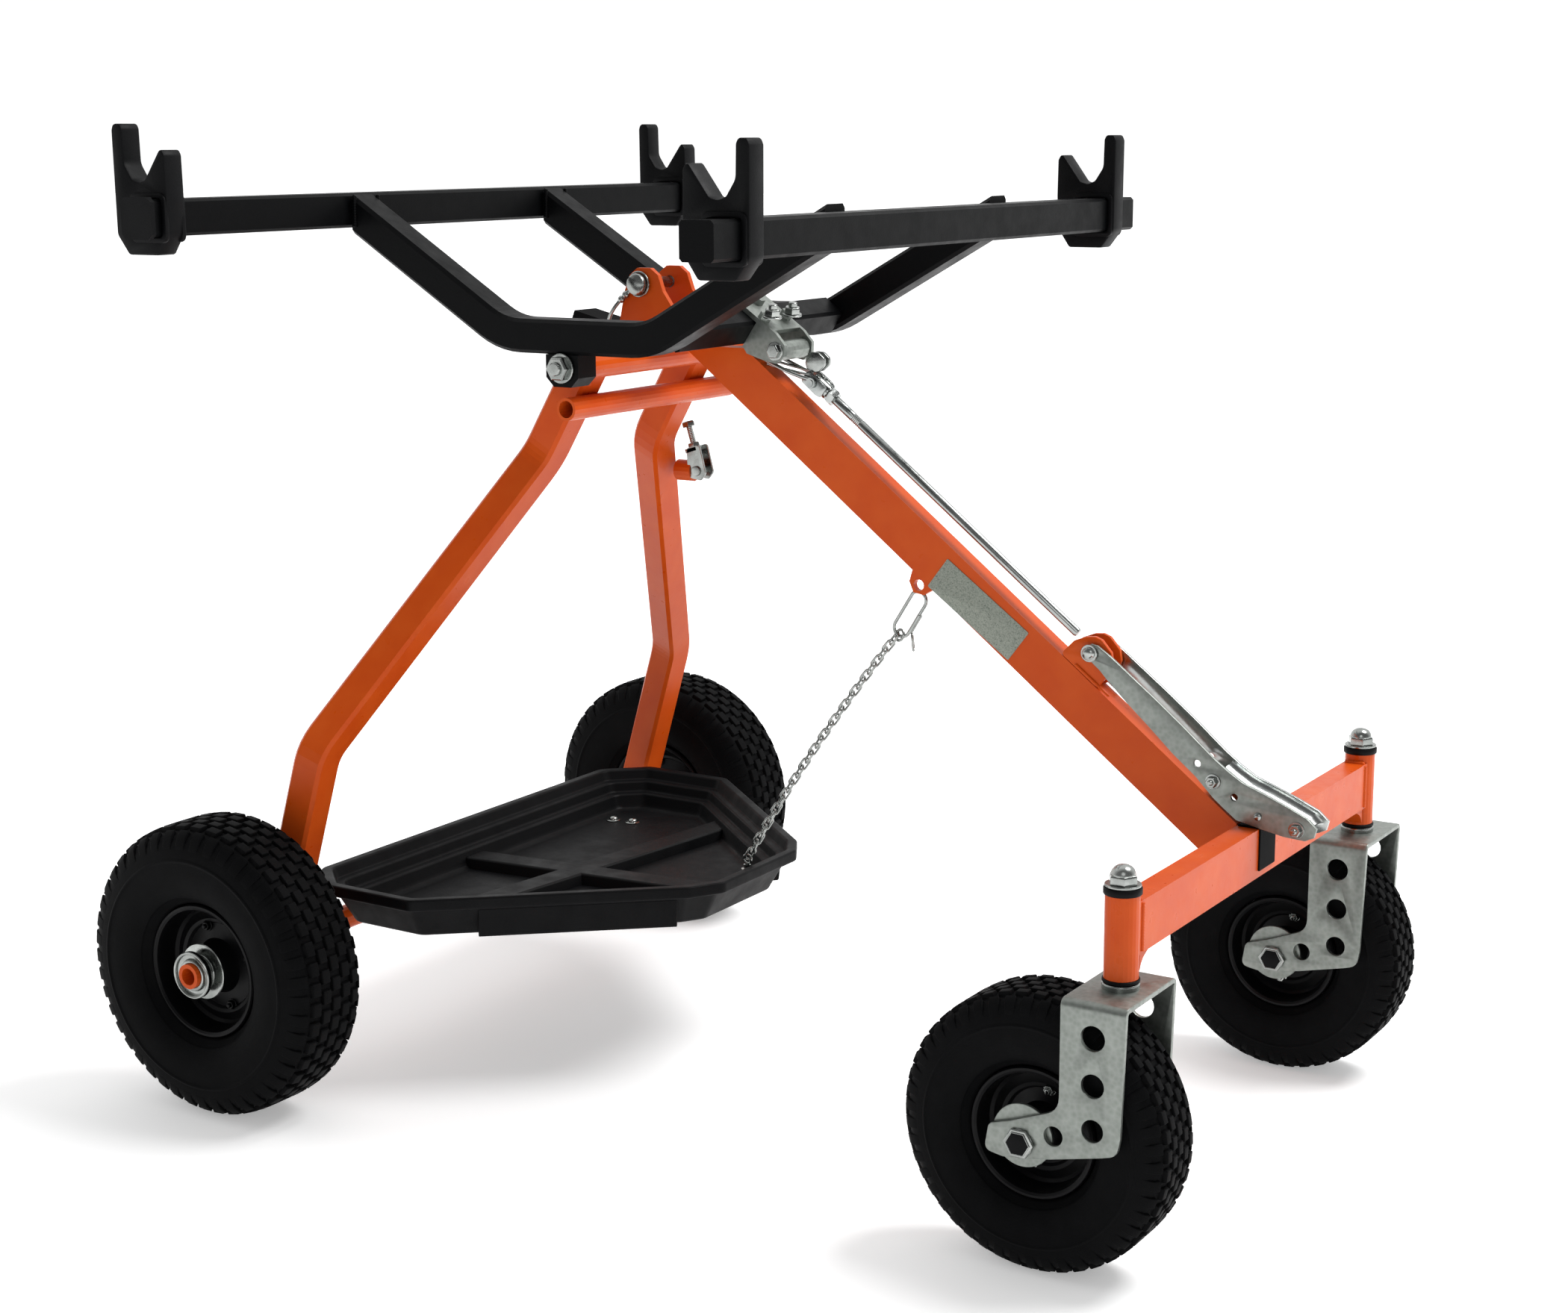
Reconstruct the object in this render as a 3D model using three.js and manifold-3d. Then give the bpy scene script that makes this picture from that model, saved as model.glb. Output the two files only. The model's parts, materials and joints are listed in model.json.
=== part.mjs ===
// Tilting kart trolley: two-castor front, two-wheel rear, tipping cradle on top.
// Units are millimetres. +X towards the castors, +Y to the far side, +Z up.
// Lengths along X are written from the rear axle; SHIFT_X centres the whole part.
import * as THREE from 'three';
import { mergeVertices } from 'three/addons/utils/BufferGeometryUtils.js';
import Module from 'manifold-3d';

const SHIFT_X = -371;            // moves the middle of the bounding box to X = 0
const GAP = 0.3;                 // air left between parts that touch

// Driving dimensions
const REAR_R = 130;              // rear wheel radius
const REAR_W = 85;               // rear wheel width
const REAR_Y = 341;              // rear wheel mid plane
const CASTOR_R = 109;            // castor wheel radius
const CASTOR_W = 70;             // castor wheel width
const CASTOR_AXLE_X = 749;       // castor axle, trailing the steering axis
const STEER_X = 807;             // steering axis
const STEER_Y = 247;             // half the steering spacing
const STEER_Z0 = 234;            // steering tube, lower end
const STEER_Z1 = 297;            // steering tube, upper end
const BEAM_W = 20;               // beam and crossbar width
const BEAM_H = 40;               // beam and crossbar depth
const BEAM_SLOPE = 37.7;         // degrees below level, running forward
const BEAM_MID = [413, 562.5];   // a point on the beam's centre line
const BEAM_END_Z = 652.5;        // level cut at the beam's upper end
const CROSSBAR_X = 807;
const CROSSBAR_Z = 270;
const PIVOT = [237, 642];        // cradle hinge axis (X, Z)
const PIVOT_TUBE_R = 12;
const PIVOT_TUBE_Y = 124;        // half length
const LOWER_TUBE = [221, 604];
const LOWER_TUBE_R = 10;
const LOWER_TUBE_Y = 125;
const AXLE_R = 11;
const AXLE_Y = 386;
const LEG_SIDE = 30;             // square leg tube
const LEG_TOP = [213, 82, 640];
const LEG_BEND_1 = [164, 84, 557];
const LEG_BEND_2 = [52, 268, 312];
const LEG_FOOT = [0, 270, 141.4];
const BAR_SIDE = 30;             // square cradle bars
const REAR_BAR = [-5, 771];      // centre (X, Z)
const REAR_BAR_Y = 391;          // half length
const FRONT_BAR = [514, 760];
const FRONT_BAR_Y = 352;
const HOOK_T = 20;
const REAR_HOOK_Y = 377;         // outer face
const FRONT_HOOK_Y = 316;
const RAIL_Y = 137;              // mid plane of the two long cradle tubes
const RAIL_W = 30;
const RAIL_H = 29;
const RAIL_PATH = [[10.3, 767.8], [173, 668], [326, 668], [498.7, 764.2]];
const STAY_MID = [333, 673];     // cradle cross tube, turned to lie with the beam
const STAY_SIDE = 25;
const STAY_TURN = 35;            // degrees
const LEVER_PIVOT = [667, 418];
const TRAY_FLOOR_Z = 141.6;      // underside of the tray floor
const TRAY_RIM_Z = 183;
const TRAY_T = 3;                // tray wall

const RAD = Math.PI / 180;
const wasm = await Module();
wasm.setup();

const COLORS = {
  orange: 0xc8501e,
  black: 0x17181a,
  plastic: 0x141414,
  zinc: 0xb4b8ae,
  galvanised: 0xc3c8c8,
  rubber: 0x1b1b1c,
  steel: 0x9a9c9e,
};
const materials = {};
for (const [name, color] of Object.entries(COLORS)) {
  materials[name] = new THREE.MeshStandardMaterial({ color, roughness: 0.5 });
  materials[name].name = name;
}

const group = new THREE.Group();
group.name = 'kart_trolley';

function add(name, geometry, material) {
  const g = geometry.clone();
  g.translate(SHIFT_X, 0, 0);
  const mesh = new THREE.Mesh(g, materials[material]);
  mesh.name = name;
  group.add(mesh);
}

// ---------- helpers ----------
function shapeOf(points, holes = []) {
  const s = new THREE.Shape(points.map(([x, y]) => new THREE.Vector2(x, y)));
  for (const h of holes) {
    const p = new THREE.Path(h.map(([x, y]) => new THREE.Vector2(x, y)));
    s.holes.push(p);
  }
  return s;
}

function ring(cx, cy, r, n = 14, start = 0) {
  const out = [];
  for (let i = 0; i < n; i += 1) {
    const a = start + (i / n) * Math.PI * 2;
    out.push([cx + r * Math.cos(a), cy + r * Math.sin(a)]);
  }
  return out;
}

// XZ outline extruded from y0 to y1
function plateY(points, y0, y1, holes = []) {
  const g = new THREE.ExtrudeGeometry(shapeOf(points, holes), { depth: y1 - y0, bevelEnabled: false });
  g.rotateX(Math.PI / 2);
  g.translate(0, y1, 0);
  return g;
}

// XY outline extruded from z0 to z1
function plateZ(points, z0, z1, holes = []) {
  const g = new THREE.ExtrudeGeometry(shapeOf(points, holes), { depth: z1 - z0, bevelEnabled: false });
  g.translate(0, 0, z0);
  return g;
}

function rect(x0, y0, x1, y1) {
  return [[x0, y0], [x1, y0], [x1, y1], [x0, y1]];
}

// lathe about the local Y axis; the profile is [radius, y] and closes on itself
function latheY(profile, segments, cx, cy, cz) {
  const pts = profile.map(([r, y]) => new THREE.Vector2(r, y));
  pts.push(pts[0].clone());
  const g = new THREE.LatheGeometry(pts, segments);
  g.translate(cx, cy, cz);
  return g;
}

// solid round bar along Y
function rodY(r, x, z, y0, y1, n = 16) {
  return plateY(ring(x, z, r, n), y0, y1);
}

function tubeY(r, bore, x, z, y0, y1, n = 18) {
  return plateY(ring(x, z, r, n), y0, y1, [ring(x, z, bore, n)]);
}

function rodZ(r, x, y, z0, z1, n = 16) {
  return plateZ(ring(x, y, r, n), z0, z1);
}

// a path whose sampling lands exactly on its own points
class BentPath extends THREE.Curve {
  constructor(points) {
    super();
    this.points = points;
  }
  getPoint(t, target = new THREE.Vector3()) {
    const n = this.points.length - 1;
    const f = Math.min(Math.max(t, 0), 1) * n;
    const i = Math.min(Math.floor(f + 1e-9), n - 1);
    return target.copy(this.points[i]).lerp(this.points[i + 1], f - i);
  }
  getPointAt(u, target) {
    return this.getPoint(u, target);
  }
  getTangentAt(u, target = new THREE.Vector3()) {
    const n = this.points.length - 1;
    const i = Math.round(u * n);
    const a = this.points[Math.max(i - 1, 0)];
    const b = this.points[i];
    const c = this.points[Math.min(i + 1, n)];
    const d1 = b.clone().sub(a);
    const d2 = c.clone().sub(b);
    if (i > 0) d1.normalize();
    if (i < n) d2.normalize();
    return target.copy(d1.add(d2)).normalize();
  }
  getTangent(t, target) {
    return this.getTangentAt(t, target);
  }
}

// corner points become arcs of the given radius
function rounded(points, radius, steps = 4) {
  const v = points.map((p) => new THREE.Vector3(...p));
  const out = [v[0].clone()];
  for (let i = 1; i < v.length - 1; i += 1) {
    const a = v[i - 1].clone().sub(v[i]).normalize();
    const b = v[i + 1].clone().sub(v[i]).normalize();
    const half = Math.acos(THREE.MathUtils.clamp(a.dot(b), -1, 1)) / 2;
    const cut = radius / Math.tan(half);
    const mid = a.clone().add(b).normalize();
    const centre = v[i].clone().addScaledVector(mid, radius / Math.sin(half));
    const p0 = v[i].clone().addScaledVector(a, cut).sub(centre);
    const p1 = v[i].clone().addScaledVector(b, cut).sub(centre);
    const axis = p0.clone().cross(p1).normalize();
    const turn = p0.angleTo(p1);
    for (let k = 0; k <= steps; k += 1) {
      out.push(p0.clone().applyAxisAngle(axis, (turn * k) / steps).add(centre));
    }
  }
  out.push(v[v.length - 1].clone());
  return out;
}

function sweep(section, path) {
  const options = { steps: path.length - 1, bevelEnabled: false, extrudePath: new BentPath(path) };
  return new THREE.ExtrudeGeometry(shapeOf(section), options);
}

function square(w, h, c = 2.5) {
  const a = w / 2;
  const b = h / 2;
  return [[a - c, -b], [a, -b + c], [a, b - c], [a - c, b], [-a + c, b], [-a, b - c], [-a, -b + c], [-a + c, -b]];
}

function toSolid(g) {
  const plain = new THREE.BufferGeometry();
  plain.setAttribute('position', g.getAttribute('position').clone());
  if (g.index) plain.setIndex(g.index.clone());
  const m = mergeVertices(plain, 1e-4);
  const mesh = new wasm.Mesh({
    numProp: 3,
    vertProperties: new Float32Array(m.getAttribute('position').array),
    triVerts: new Uint32Array(m.index.array),
  });
  return new wasm.Manifold(mesh);
}

function toGeometry(solid) {
  const mesh = solid.getMesh();
  const g = new THREE.BufferGeometry();
  g.setAttribute('position', new THREE.BufferAttribute(new Float32Array(mesh.vertProperties), 3));
  g.setIndex(new THREE.BufferAttribute(new Uint32Array(mesh.triVerts), 1));
  const flat = g.toNonIndexed();
  flat.computeVertexNormals();
  return flat;
}

function join(...parts) {
  let s = toSolid(parts[0]);
  for (const p of parts.slice(1)) s = s.add(toSolid(p));
  return toGeometry(s);
}

function cut(base, ...tools) {
  let s = toSolid(base);
  for (const t of tools) s = s.subtract(toSolid(t));
  return toGeometry(s);
}

// mirror across Y = 0, keeping faces outward
function mirrorY(g) {
  const m = g.index ? g.toNonIndexed() : g.clone();
  const p = m.getAttribute('position');
  const out = new Float32Array(p.count * 3);
  for (let t = 0; t < p.count; t += 3) {
    for (let k = 0; k < 3; k += 1) {
      const src = t + [0, 2, 1][k];
      out[(t + k) * 3] = p.getX(src);
      out[(t + k) * 3 + 1] = -p.getY(src);
      out[(t + k) * 3 + 2] = p.getZ(src);
    }
  }
  const r = new THREE.BufferGeometry();
  r.setAttribute('position', new THREE.BufferAttribute(out, 3));
  r.computeVertexNormals();
  return r;
}

function addPair(name, nearGeometry, material) {
  add(`${name}_near`, nearGeometry, material);
  add(`${name}_far`, mirrorY(nearGeometry), material);
}

// ---------- frame ----------
const slopeC = Math.cos(BEAM_SLOPE * RAD);
const slopeS = Math.sin(BEAM_SLOPE * RAD);
// along = distance down the slope from BEAM_MID, up = distance square to it
function onBeam(along, up) {
  return [BEAM_MID[0] + along * slopeC + up * slopeS, BEAM_MID[1] - along * slopeS + up * slopeC];
}
function beamAtZ(z, up) {
  const along = (BEAM_MID[1] + up * slopeC - z) / slopeS;
  return onBeam(along, up);
}
function beamAtX(x, up) {
  const along = (x - BEAM_MID[0] - up * slopeS) / slopeC;
  return onBeam(along, up);
}
const half = BEAM_H / 2;
const beamFrontX = CROSSBAR_X - BEAM_W / 2 - GAP;
const beamOutline = [
  beamAtZ(BEAM_END_Z, half),
  beamAtZ(BEAM_END_Z, -half),
  beamAtX(beamFrontX - 18, -half),
  [beamFrontX, CROSSBAR_Z - half + 3],
  beamAtX(beamFrontX, half),
];
add('frame_beam', plateY(beamOutline, -BEAM_W / 2, BEAM_W / 2), 'orange');

const barOutline = rect(CROSSBAR_X - BEAM_W / 2, CROSSBAR_Z - half, CROSSBAR_X + BEAM_W / 2, CROSSBAR_Z + half);
const steerClear = [-1, 1].map((s) => rodZ(13.3, STEER_X, s * STEER_Y, 200, 340, 24));
add('front_crossbar', cut(plateY(barOutline, -STEER_Y + 2, STEER_Y - 2), ...steerClear), 'orange');

const steerNear = plateZ(ring(STEER_X, -STEER_Y, 13, 24), STEER_Z0, STEER_Z1, [ring(STEER_X, -STEER_Y, 8.4, 24)]);
addPair('steering_tube', steerNear, 'orange');

const legPath = rounded([LEG_TOP, LEG_BEND_1, LEG_BEND_2, LEG_FOOT].map(([x, y, z]) => [x, -y, z]), 45, 4);
const legTools = [
  rodY(PIVOT_TUBE_R + GAP, ...PIVOT, -140, 140, 20),
  rodY(AXLE_R + GAP, 0, REAR_R, -320, -200, 20),
];
addPair('leg', cut(sweep(square(LEG_SIDE, LEG_SIDE, 3), legPath), ...legTools), 'orange');

add('pivot_tube', tubeY(PIVOT_TUBE_R, 6.5, ...PIVOT, -PIVOT_TUBE_Y, PIVOT_TUBE_Y, 20), 'orange');
add('lower_cross_tube', tubeY(LOWER_TUBE_R, 7.5, ...LOWER_TUBE, -LOWER_TUBE_Y, LOWER_TUBE_Y, 18), 'orange');
add('rear_axle', tubeY(AXLE_R, 7.5, 0, REAR_R, -AXLE_Y, AXLE_Y, 20), 'orange');

// folded head bracket: a base on the pivot tube and the beam, with two upright ears
const PIN_AT = [230, 706];
const PIN_R = 5;
const earOutline = [
  [203, 655], [213, 700], [219, 714], [227, 720], [241, 720], [249, 714], [254, 700], [286, 655],
];
const baseOutline = rect(203, 654.4, 290, 659);
const pinHole = ring(...PIN_AT, PIN_R + 0.4, 14);
add('head_bracket', join(
  plateY(baseOutline, -25, 25),
  plateY(earOutline, -25, -20, [pinHole]),
  plateY(earOutline, 20, 25, [pinHole]),
), 'orange');
add('stop_tab', plateY([[202.6, 655], [202.6, 661], [190, 664], [146, 671], [144, 665], [186, 656]], -14, 14), 'orange');
add('stop_pad', plateY([[189, 664.6], [192, 670], [150, 680], [146.5, 671.4]], -16, 16), 'rubber');

// ears that carry the release lever, flush with the beam's sides
const leverEar = [
  [-34, 0.3], [-20, 24], [-12, 33], [0, 37], [14, 36], [24, 27], [29, 8], [30, 0.3],
].map(([a, u]) => {
  const along0 = ((LEVER_PIVOT[0] - BEAM_MID[0]) * slopeC) - ((LEVER_PIVOT[1] - BEAM_MID[1]) * slopeS);
  return onBeam(along0 + a, half + u);
});
const leverPinHole = ring(...LEVER_PIVOT, 4.4, 14);
addPair('lever_ear', plateY(leverEar, -BEAM_W / 2, -BEAM_W / 2 + 4, [leverPinHole]), 'orange');

// chain tab under the beam
const tabAt = beamAtX(506, -half - GAP);
const tabOutline = [[-14, 0], [-9, -13], [0, -18], [9, -13], [14, 0]].map(([a, u]) => [
  tabAt[0] + a * slopeC + u * slopeS,
  tabAt[1] - a * slopeS + u * slopeC,
]);
const tabHoleC = [tabAt[0] - 9.5 * slopeS, tabAt[1] - 9.5 * slopeC];
add('chain_tab', plateY(tabOutline, -3, 3, [ring(...tabHoleC, 5, 12)]), 'orange');

// rubber rest wrapped over the crossbar, under the lever
const restOuter = [[799, 290.3], [799, 294], [802, 296], [824, 296], [828, 292], [828, 256], [817.3, 256]];
const restInner = [[817.3, 290.3]];
add('lever_rest', plateY([...restOuter, ...restInner].reverse(), -17, 17), 'rubber');

// small stub and clevis on the far leg
const STUB = [173, 112, 524];
const stub = new THREE.CylinderGeometry(10, 10, 18, 16);
stub.rotateZ(-Math.PI / 2);
stub.translate(STUB[0] + 8, STUB[1] + 2, STUB[2] - 2);
const legSolidFar = mirrorY(sweep(square(LEG_SIDE + 0.6, LEG_SIDE + 0.6, 3), legPath));
add('leg_stub', cut(stub, legSolidFar), 'orange');
const clevisX = STUB[0] + 27;
const clevisU = [
  [-9.7, 508], [8, 508], [8, 538], [4, 538], [4, 513], [-5.5, 513], [-5.5, 538], [-9.7, 538],
].map(([u, z]) => [clevisX + u, z]);
add('stub_clevis', join(
  plateY(clevisU, 103, 125),
  rodZ(3.4, clevisX - 0.8, 114, 511, 559, 12),
  rodZ(7, clevisX - 0.8, 114, 557, 563, 6),
), 'zinc');

// ---------- cradle ----------
const hookShape = [
  [-33, 70], [-29, 75], [-14, 75], [-10, 71], [-8, 43], [-2, 32], [3, 29], [8, 33], [18, 50], [22, 54],
  [32, 54], [36, 49], [38, 16], [31, -14], [20, -30], [-19, -30], [-32, -14],
];
function hook(centre, facing, y0, y1) {
  const pts = hookShape.map(([u, w]) => [centre[0] + facing * u, centre[1] + w]);
  if (facing < 0) pts.reverse();
  const h = BAR_SIDE / 2 + GAP;
  const hole = rect(centre[0] - h, centre[1] - h, centre[0] + h, centre[1] + h);
  return plateY(pts, y0, y1, [hole]);
}
function squareBar(centre, halfLength) {
  const s = square(BAR_SIDE, BAR_SIDE, 2.5).map(([a, b]) => [centre[0] + a, centre[1] + b]);
  return plateY(s, -halfLength, halfLength);
}
add('rear_bar', squareBar(REAR_BAR, REAR_BAR_Y - 5), 'black');
add('front_bar', squareBar(FRONT_BAR, FRONT_BAR_Y), 'black');
function endCap(centre, y0) {
  const s = square(34, 34, 4).map(([a, b]) => [centre[0] + a, centre[1] + b]);
  return plateY(s, y0, y0 + 4.7);
}
addPair('rear_bar_cap', endCap(REAR_BAR, -REAR_BAR_Y), 'plastic');
addPair('rear_hook', hook(REAR_BAR, 1, -REAR_HOOK_Y, -REAR_HOOK_Y + HOOK_T), 'plastic');
addPair('front_hook', hook(FRONT_BAR, -1, -FRONT_HOOK_Y, -FRONT_HOOK_Y + HOOK_T), 'plastic');

const railPath = rounded(RAIL_PATH.map(([x, z]) => [x, -RAIL_Y, z]), 70, 5);
const railTools = [
  plateY(rect(-30, 740, REAR_BAR[0] + BAR_SIDE / 2 + GAP, 800), -170, -100),
  plateY(rect(FRONT_BAR[0] - BAR_SIDE / 2 - GAP, 730, 540, 800), -170, -100),
];
const railStart = new THREE.Vector3(-10, -RAIL_Y, 780.3);
const railEnd = new THREE.Vector3(516, -RAIL_Y, 773.9);
const railLong = [railStart, ...railPath.slice(1, -1), railEnd];
addPair('cradle_rail', cut(sweep(square(RAIL_W, RAIL_H, 3), railLong), ...railTools), 'black');

const stayC = Math.cos(STAY_TURN * RAD);
const stayS = Math.sin(STAY_TURN * RAD);
function onStay(s, n) {
  return [STAY_MID[0] + s * stayC + n * stayS, STAY_MID[1] - s * stayS + n * stayC];
}
const staySection = square(STAY_SIDE, STAY_SIDE, 2.5).map(([a, b]) => onStay(a, b));
const railClear = RAIL_Y - RAIL_W / 2 - GAP;
add('cradle_stay', plateY(staySection, -railClear, railClear), 'black');

// pivot lugs hanging from the rails, and their bolts
const railBottom = 668 - RAIL_H / 2 - GAP;
const lugOutline = [
  [PIVOT[0] - 17, railBottom], [PIVOT[0] - 17, PIVOT[1] - 8], [PIVOT[0] - 9, PIVOT[1] - 16],
  [PIVOT[0] + 9, PIVOT[1] - 16], [PIVOT[0] + 17, PIVOT[1] - 8], [PIVOT[0] + 17, railBottom],
];
const lugHole = ring(...PIVOT, 6.4, 16);
addPair('pivot_lug', plateY(lugOutline, -150, -PIVOT_TUBE_Y - 1, [lugHole]), 'black');
addPair('pivot_bolt', join(
  rodY(6, ...PIVOT, -162, -96, 16),
  rodY(11, ...PIVOT, -159, -152.4, 6),
  rodY(12, ...PIVOT, -152.8, -150.3, 18),
), 'zinc');

// latch bracket clamped to the stay, with a roller between its cheeks
function cheek(y0, y1) {
  const pts = [
    [12.8, -12], [20, -15], [38, -9], [49, -4], [52, 6], [47, 14], [34, 17], [12.8, 17],
  ].map(([s, n]) => onStay(s, n));
  return plateY(pts, y0, y1);
}
function strap(s0, s1, n0, n1, y0, y1) {
  return plateY([onStay(s0, n0), onStay(s1, n0), onStay(s1, n1), onStay(s0, n1)], y0, y1);
}
const ROLLER = onStay(42, 4);
const boltHeads = [[-8, 0], [14, -17], [14, 17]].map(([s, y]) => {
  const g = new THREE.CylinderGeometry(5.5, 5.5, 6, 6);
  g.rotateX(Math.PI / 2);
  g.rotateY(STAY_TURN * RAD);
  const p = onStay(s, 19.4);
  g.translate(p[0], y, p[1]);
  return g;
});
add('latch_bracket', join(
  strap(-14, 30, 12.8, 17, -24, 24),
  strap(-17, -12.8, -10, 17, -24, 24),
  strap(12.8, 16.5, -10, 17, -24, 24),
  cheek(-24, -20),
  cheek(20, 24),
  ...boltHeads,
  rodY(4, ...ROLLER, -27, 27, 12),
  rodY(8.5, ...ROLLER, -19.5, 19.5, 16),
), 'zinc');

// ---------- release linkage ----------
// wire bail under the roller, its arms ending at the rod's cross pin
const bailPts = [[73, -13, -3], [32, -13, -12], [32, 13, -12], [73, 13, -3]];
const bailPath = rounded(bailPts.map(([along, y, up]) => {
  const p = onStay(along, up);
  return [p[0], y, p[1]];
}), 5, 3);
add('latch_bail', sweep(ring(0, 0, 1.8, 8), bailPath), 'zinc');

const ROD_A = [413, 613];
const ROD_B = [650, 429.5];
const rodLen = Math.hypot(ROD_B[0] - ROD_A[0], ROD_B[1] - ROD_A[1]);
const rodDir = [(ROD_B[0] - ROD_A[0]) / rodLen, (ROD_B[1] - ROD_A[1]) / rodLen];
function onRod(along, up) {
  return [ROD_A[0] + along * rodDir[0] - up * rodDir[1], ROD_A[1] + along * rodDir[1] + up * rodDir[0]];
}
function rodPiece(r, a0, a1, n = 12) {
  const g = new THREE.CylinderGeometry(r, r, a1 - a0, n);
  g.rotateZ(-Math.PI / 2);
  g.rotateY(Math.atan2(-rodDir[1], rodDir[0]));
  const m = onRod((a0 + a1) / 2, 0);
  g.translate(m[0], 0, m[1]);
  return g;
}
function rodPlate(a0, a1, u0, u1, y0, y1) {
  return plateY([onRod(a0, u0), onRod(a0, u1), onRod(a1, u1), onRod(a1, u0)].reverse(), y0, y1);
}
add('release_rod', join(
  rodPiece(4, -2, rodLen, 12),
  rodPiece(7, -4, 3, 6),
  rodPlate(-24, -3, -6, 6, -9, -6),
  rodPlate(-24, -3, -6, 6, 6, 9),
  rodPlate(-6, -3, -6, 6, -9, 9),
  plateY(ring(...onRod(-17, 0), 3, 10), -16, 16),
), 'zinc');

// release lever: inverted channel that straddles the ears
const topLine = [[657, 421], [660, 430], [668, 433], [678, 428], [694, 412], [761, 352], [784, 333], [808, 322], [840, 318], [872, 310]];
const lowLine = [[866, 292], [853, 290], [826, 296.6], [797, 300], [781, 309], [762, 327], [681, 401], [666, 407.5], [659, 411]];
const boltHoles = [[700, 398], [778, 325]];
const leverOutline = [...topLine, ...lowLine].reverse();
const leverHoles = [ring(...LEVER_PIVOT, 4.4, 12), ring(768, 338, 4, 10), ring(806, 309, 3.4, 10)];
const webTop = topLine.slice(4);
const webLow = webTop.map(([x, z], i) => {
  const a = webTop[Math.max(i - 1, 0)];
  const b = webTop[Math.min(i + 1, webTop.length - 1)];
  const d = Math.hypot(b[0] - a[0], b[1] - a[1]);
  return [x + (3 * (b[1] - a[1])) / d, z - (3 * (b[0] - a[0])) / d];
});
const webOutline = [...webTop, ...webLow.reverse()].reverse();
const LEVER_IN = 12;
add('release_lever', join(
  plateY(leverOutline, -LEVER_IN - 3, -LEVER_IN, leverHoles),
  plateY(leverOutline, LEVER_IN, LEVER_IN + 3, leverHoles),
  plateY(webOutline, -LEVER_IN - 1, LEVER_IN + 1),
  rodY(3.5, 777, 324, -LEVER_IN - 5, LEVER_IN + 5, 10),
  rodY(5.5, 777, 324, -LEVER_IN - 6, -LEVER_IN - 2.5, 6),
  rodY(3.5, 850, 300, -LEVER_IN - 5, LEVER_IN + 5, 10),
  rodY(5.5, 850, 300, -LEVER_IN - 6, -LEVER_IN - 2.5, 6),
), 'zinc');
add('lever_pin', join(
  rodY(4, ...LEVER_PIVOT, -19, 19, 12),
  rodY(6, ...LEVER_PIVOT, -18.6, -15.4, 12),
  rodY(6, ...LEVER_PIVOT, 15.4, 18.6, 12),
), 'zinc');

// locking pin through the head bracket's ears
add('lock_pin', join(
  rodY(PIN_R, ...PIN_AT, -32, 34, 14),
  rodY(9, ...PIN_AT, -34, -25.4, 16),
), 'zinc');
const pinChainPath = rounded([[217.5, -30, 705], [211, -32, 698], [202, -33, 680], [195, -30, 668]], 6, 2);
add('pin_tether', sweep(ring(0, 0, 2.6, 8), pinChainPath), 'zinc');

// ---------- castors ----------
const FORK_IN = 40;
const FORK_T = 4;
const forkSide = [
  [780, 226], [780, 158], [772, 140], [738, 126], [724, 119], [720, 106], [728, 98], [752, 95],
  [800, 98], [817, 104], [827, 124], [831, 172], [832, 226],
];
const forkHoles = [[806, 200, 9.5], [806.5, 164, 9], [807, 130, 8.5], [776, 120, 7.5]];
const AXLE_HOLE = ring(CASTOR_AXLE_X, CASTOR_R, 6.4, 14);
function forkPlate(y0, y1) {
  const holes = forkHoles.map(([x, z, r]) => ring(x, z, r, 14));
  return plateY(forkSide.slice().reverse(), y0, y1, [...holes, AXLE_HOLE]);
}
function fork(y) {
  const top = plateZ(rect(780, y - FORK_IN - FORK_T, 832, y + FORK_IN + FORK_T), 222, 226);
  const king = rodZ(8, STEER_X, y, 224, 318, 16);
  const collar = rodZ(14, STEER_X, y, 225.5, STEER_Z0 - GAP, 20);
  const nut = rodZ(11.5, STEER_X, y, 303, 314, 6);
  return join(
    top,
    forkPlate(y - FORK_IN - FORK_T, y - FORK_IN),
    forkPlate(y + FORK_IN, y + FORK_IN + FORK_T),
    king,
    collar,
    nut,
  );
}
function bush(y, z0, z1) {
  return plateZ(ring(STEER_X, y, 14, 20), z0, z1, [ring(STEER_X, y, 8.4, 20)]);
}
const tyreProfile = (R, W, bead) => {
  const w = W / 2;
  const h = R - bead;
  return [
    [bead, -w * 0.62], [bead + h * 0.16, -w * 0.86], [bead + h * 0.45, -w], [bead + h * 0.72, -w * 0.96],
    [bead + h * 0.92, -w * 0.8], [R, -w * 0.55], [R, w * 0.55], [bead + h * 0.92, w * 0.8],
    [bead + h * 0.72, w * 0.96], [bead + h * 0.45, w], [bead + h * 0.16, w * 0.86], [bead, w * 0.62],
  ];
};
const rimProfile = (bead, W, bore) => {
  const w = (W / 2) * 0.62;
  const lip = bead - 0.9;
  return [
    [bore, -w * 0.9], [bore + 12, -w * 0.9], [bore + 15, -w * 0.25], [lip - 7, -w * 0.4], [lip - 4, -w - 3],
    [lip, -w - 1], [lip, w + 1], [lip - 4, w + 3], [lip - 7, w * 0.4], [bore + 15, w * 0.25],
    [bore + 12, w * 0.9], [bore, w * 0.9],
  ];
};
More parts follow.
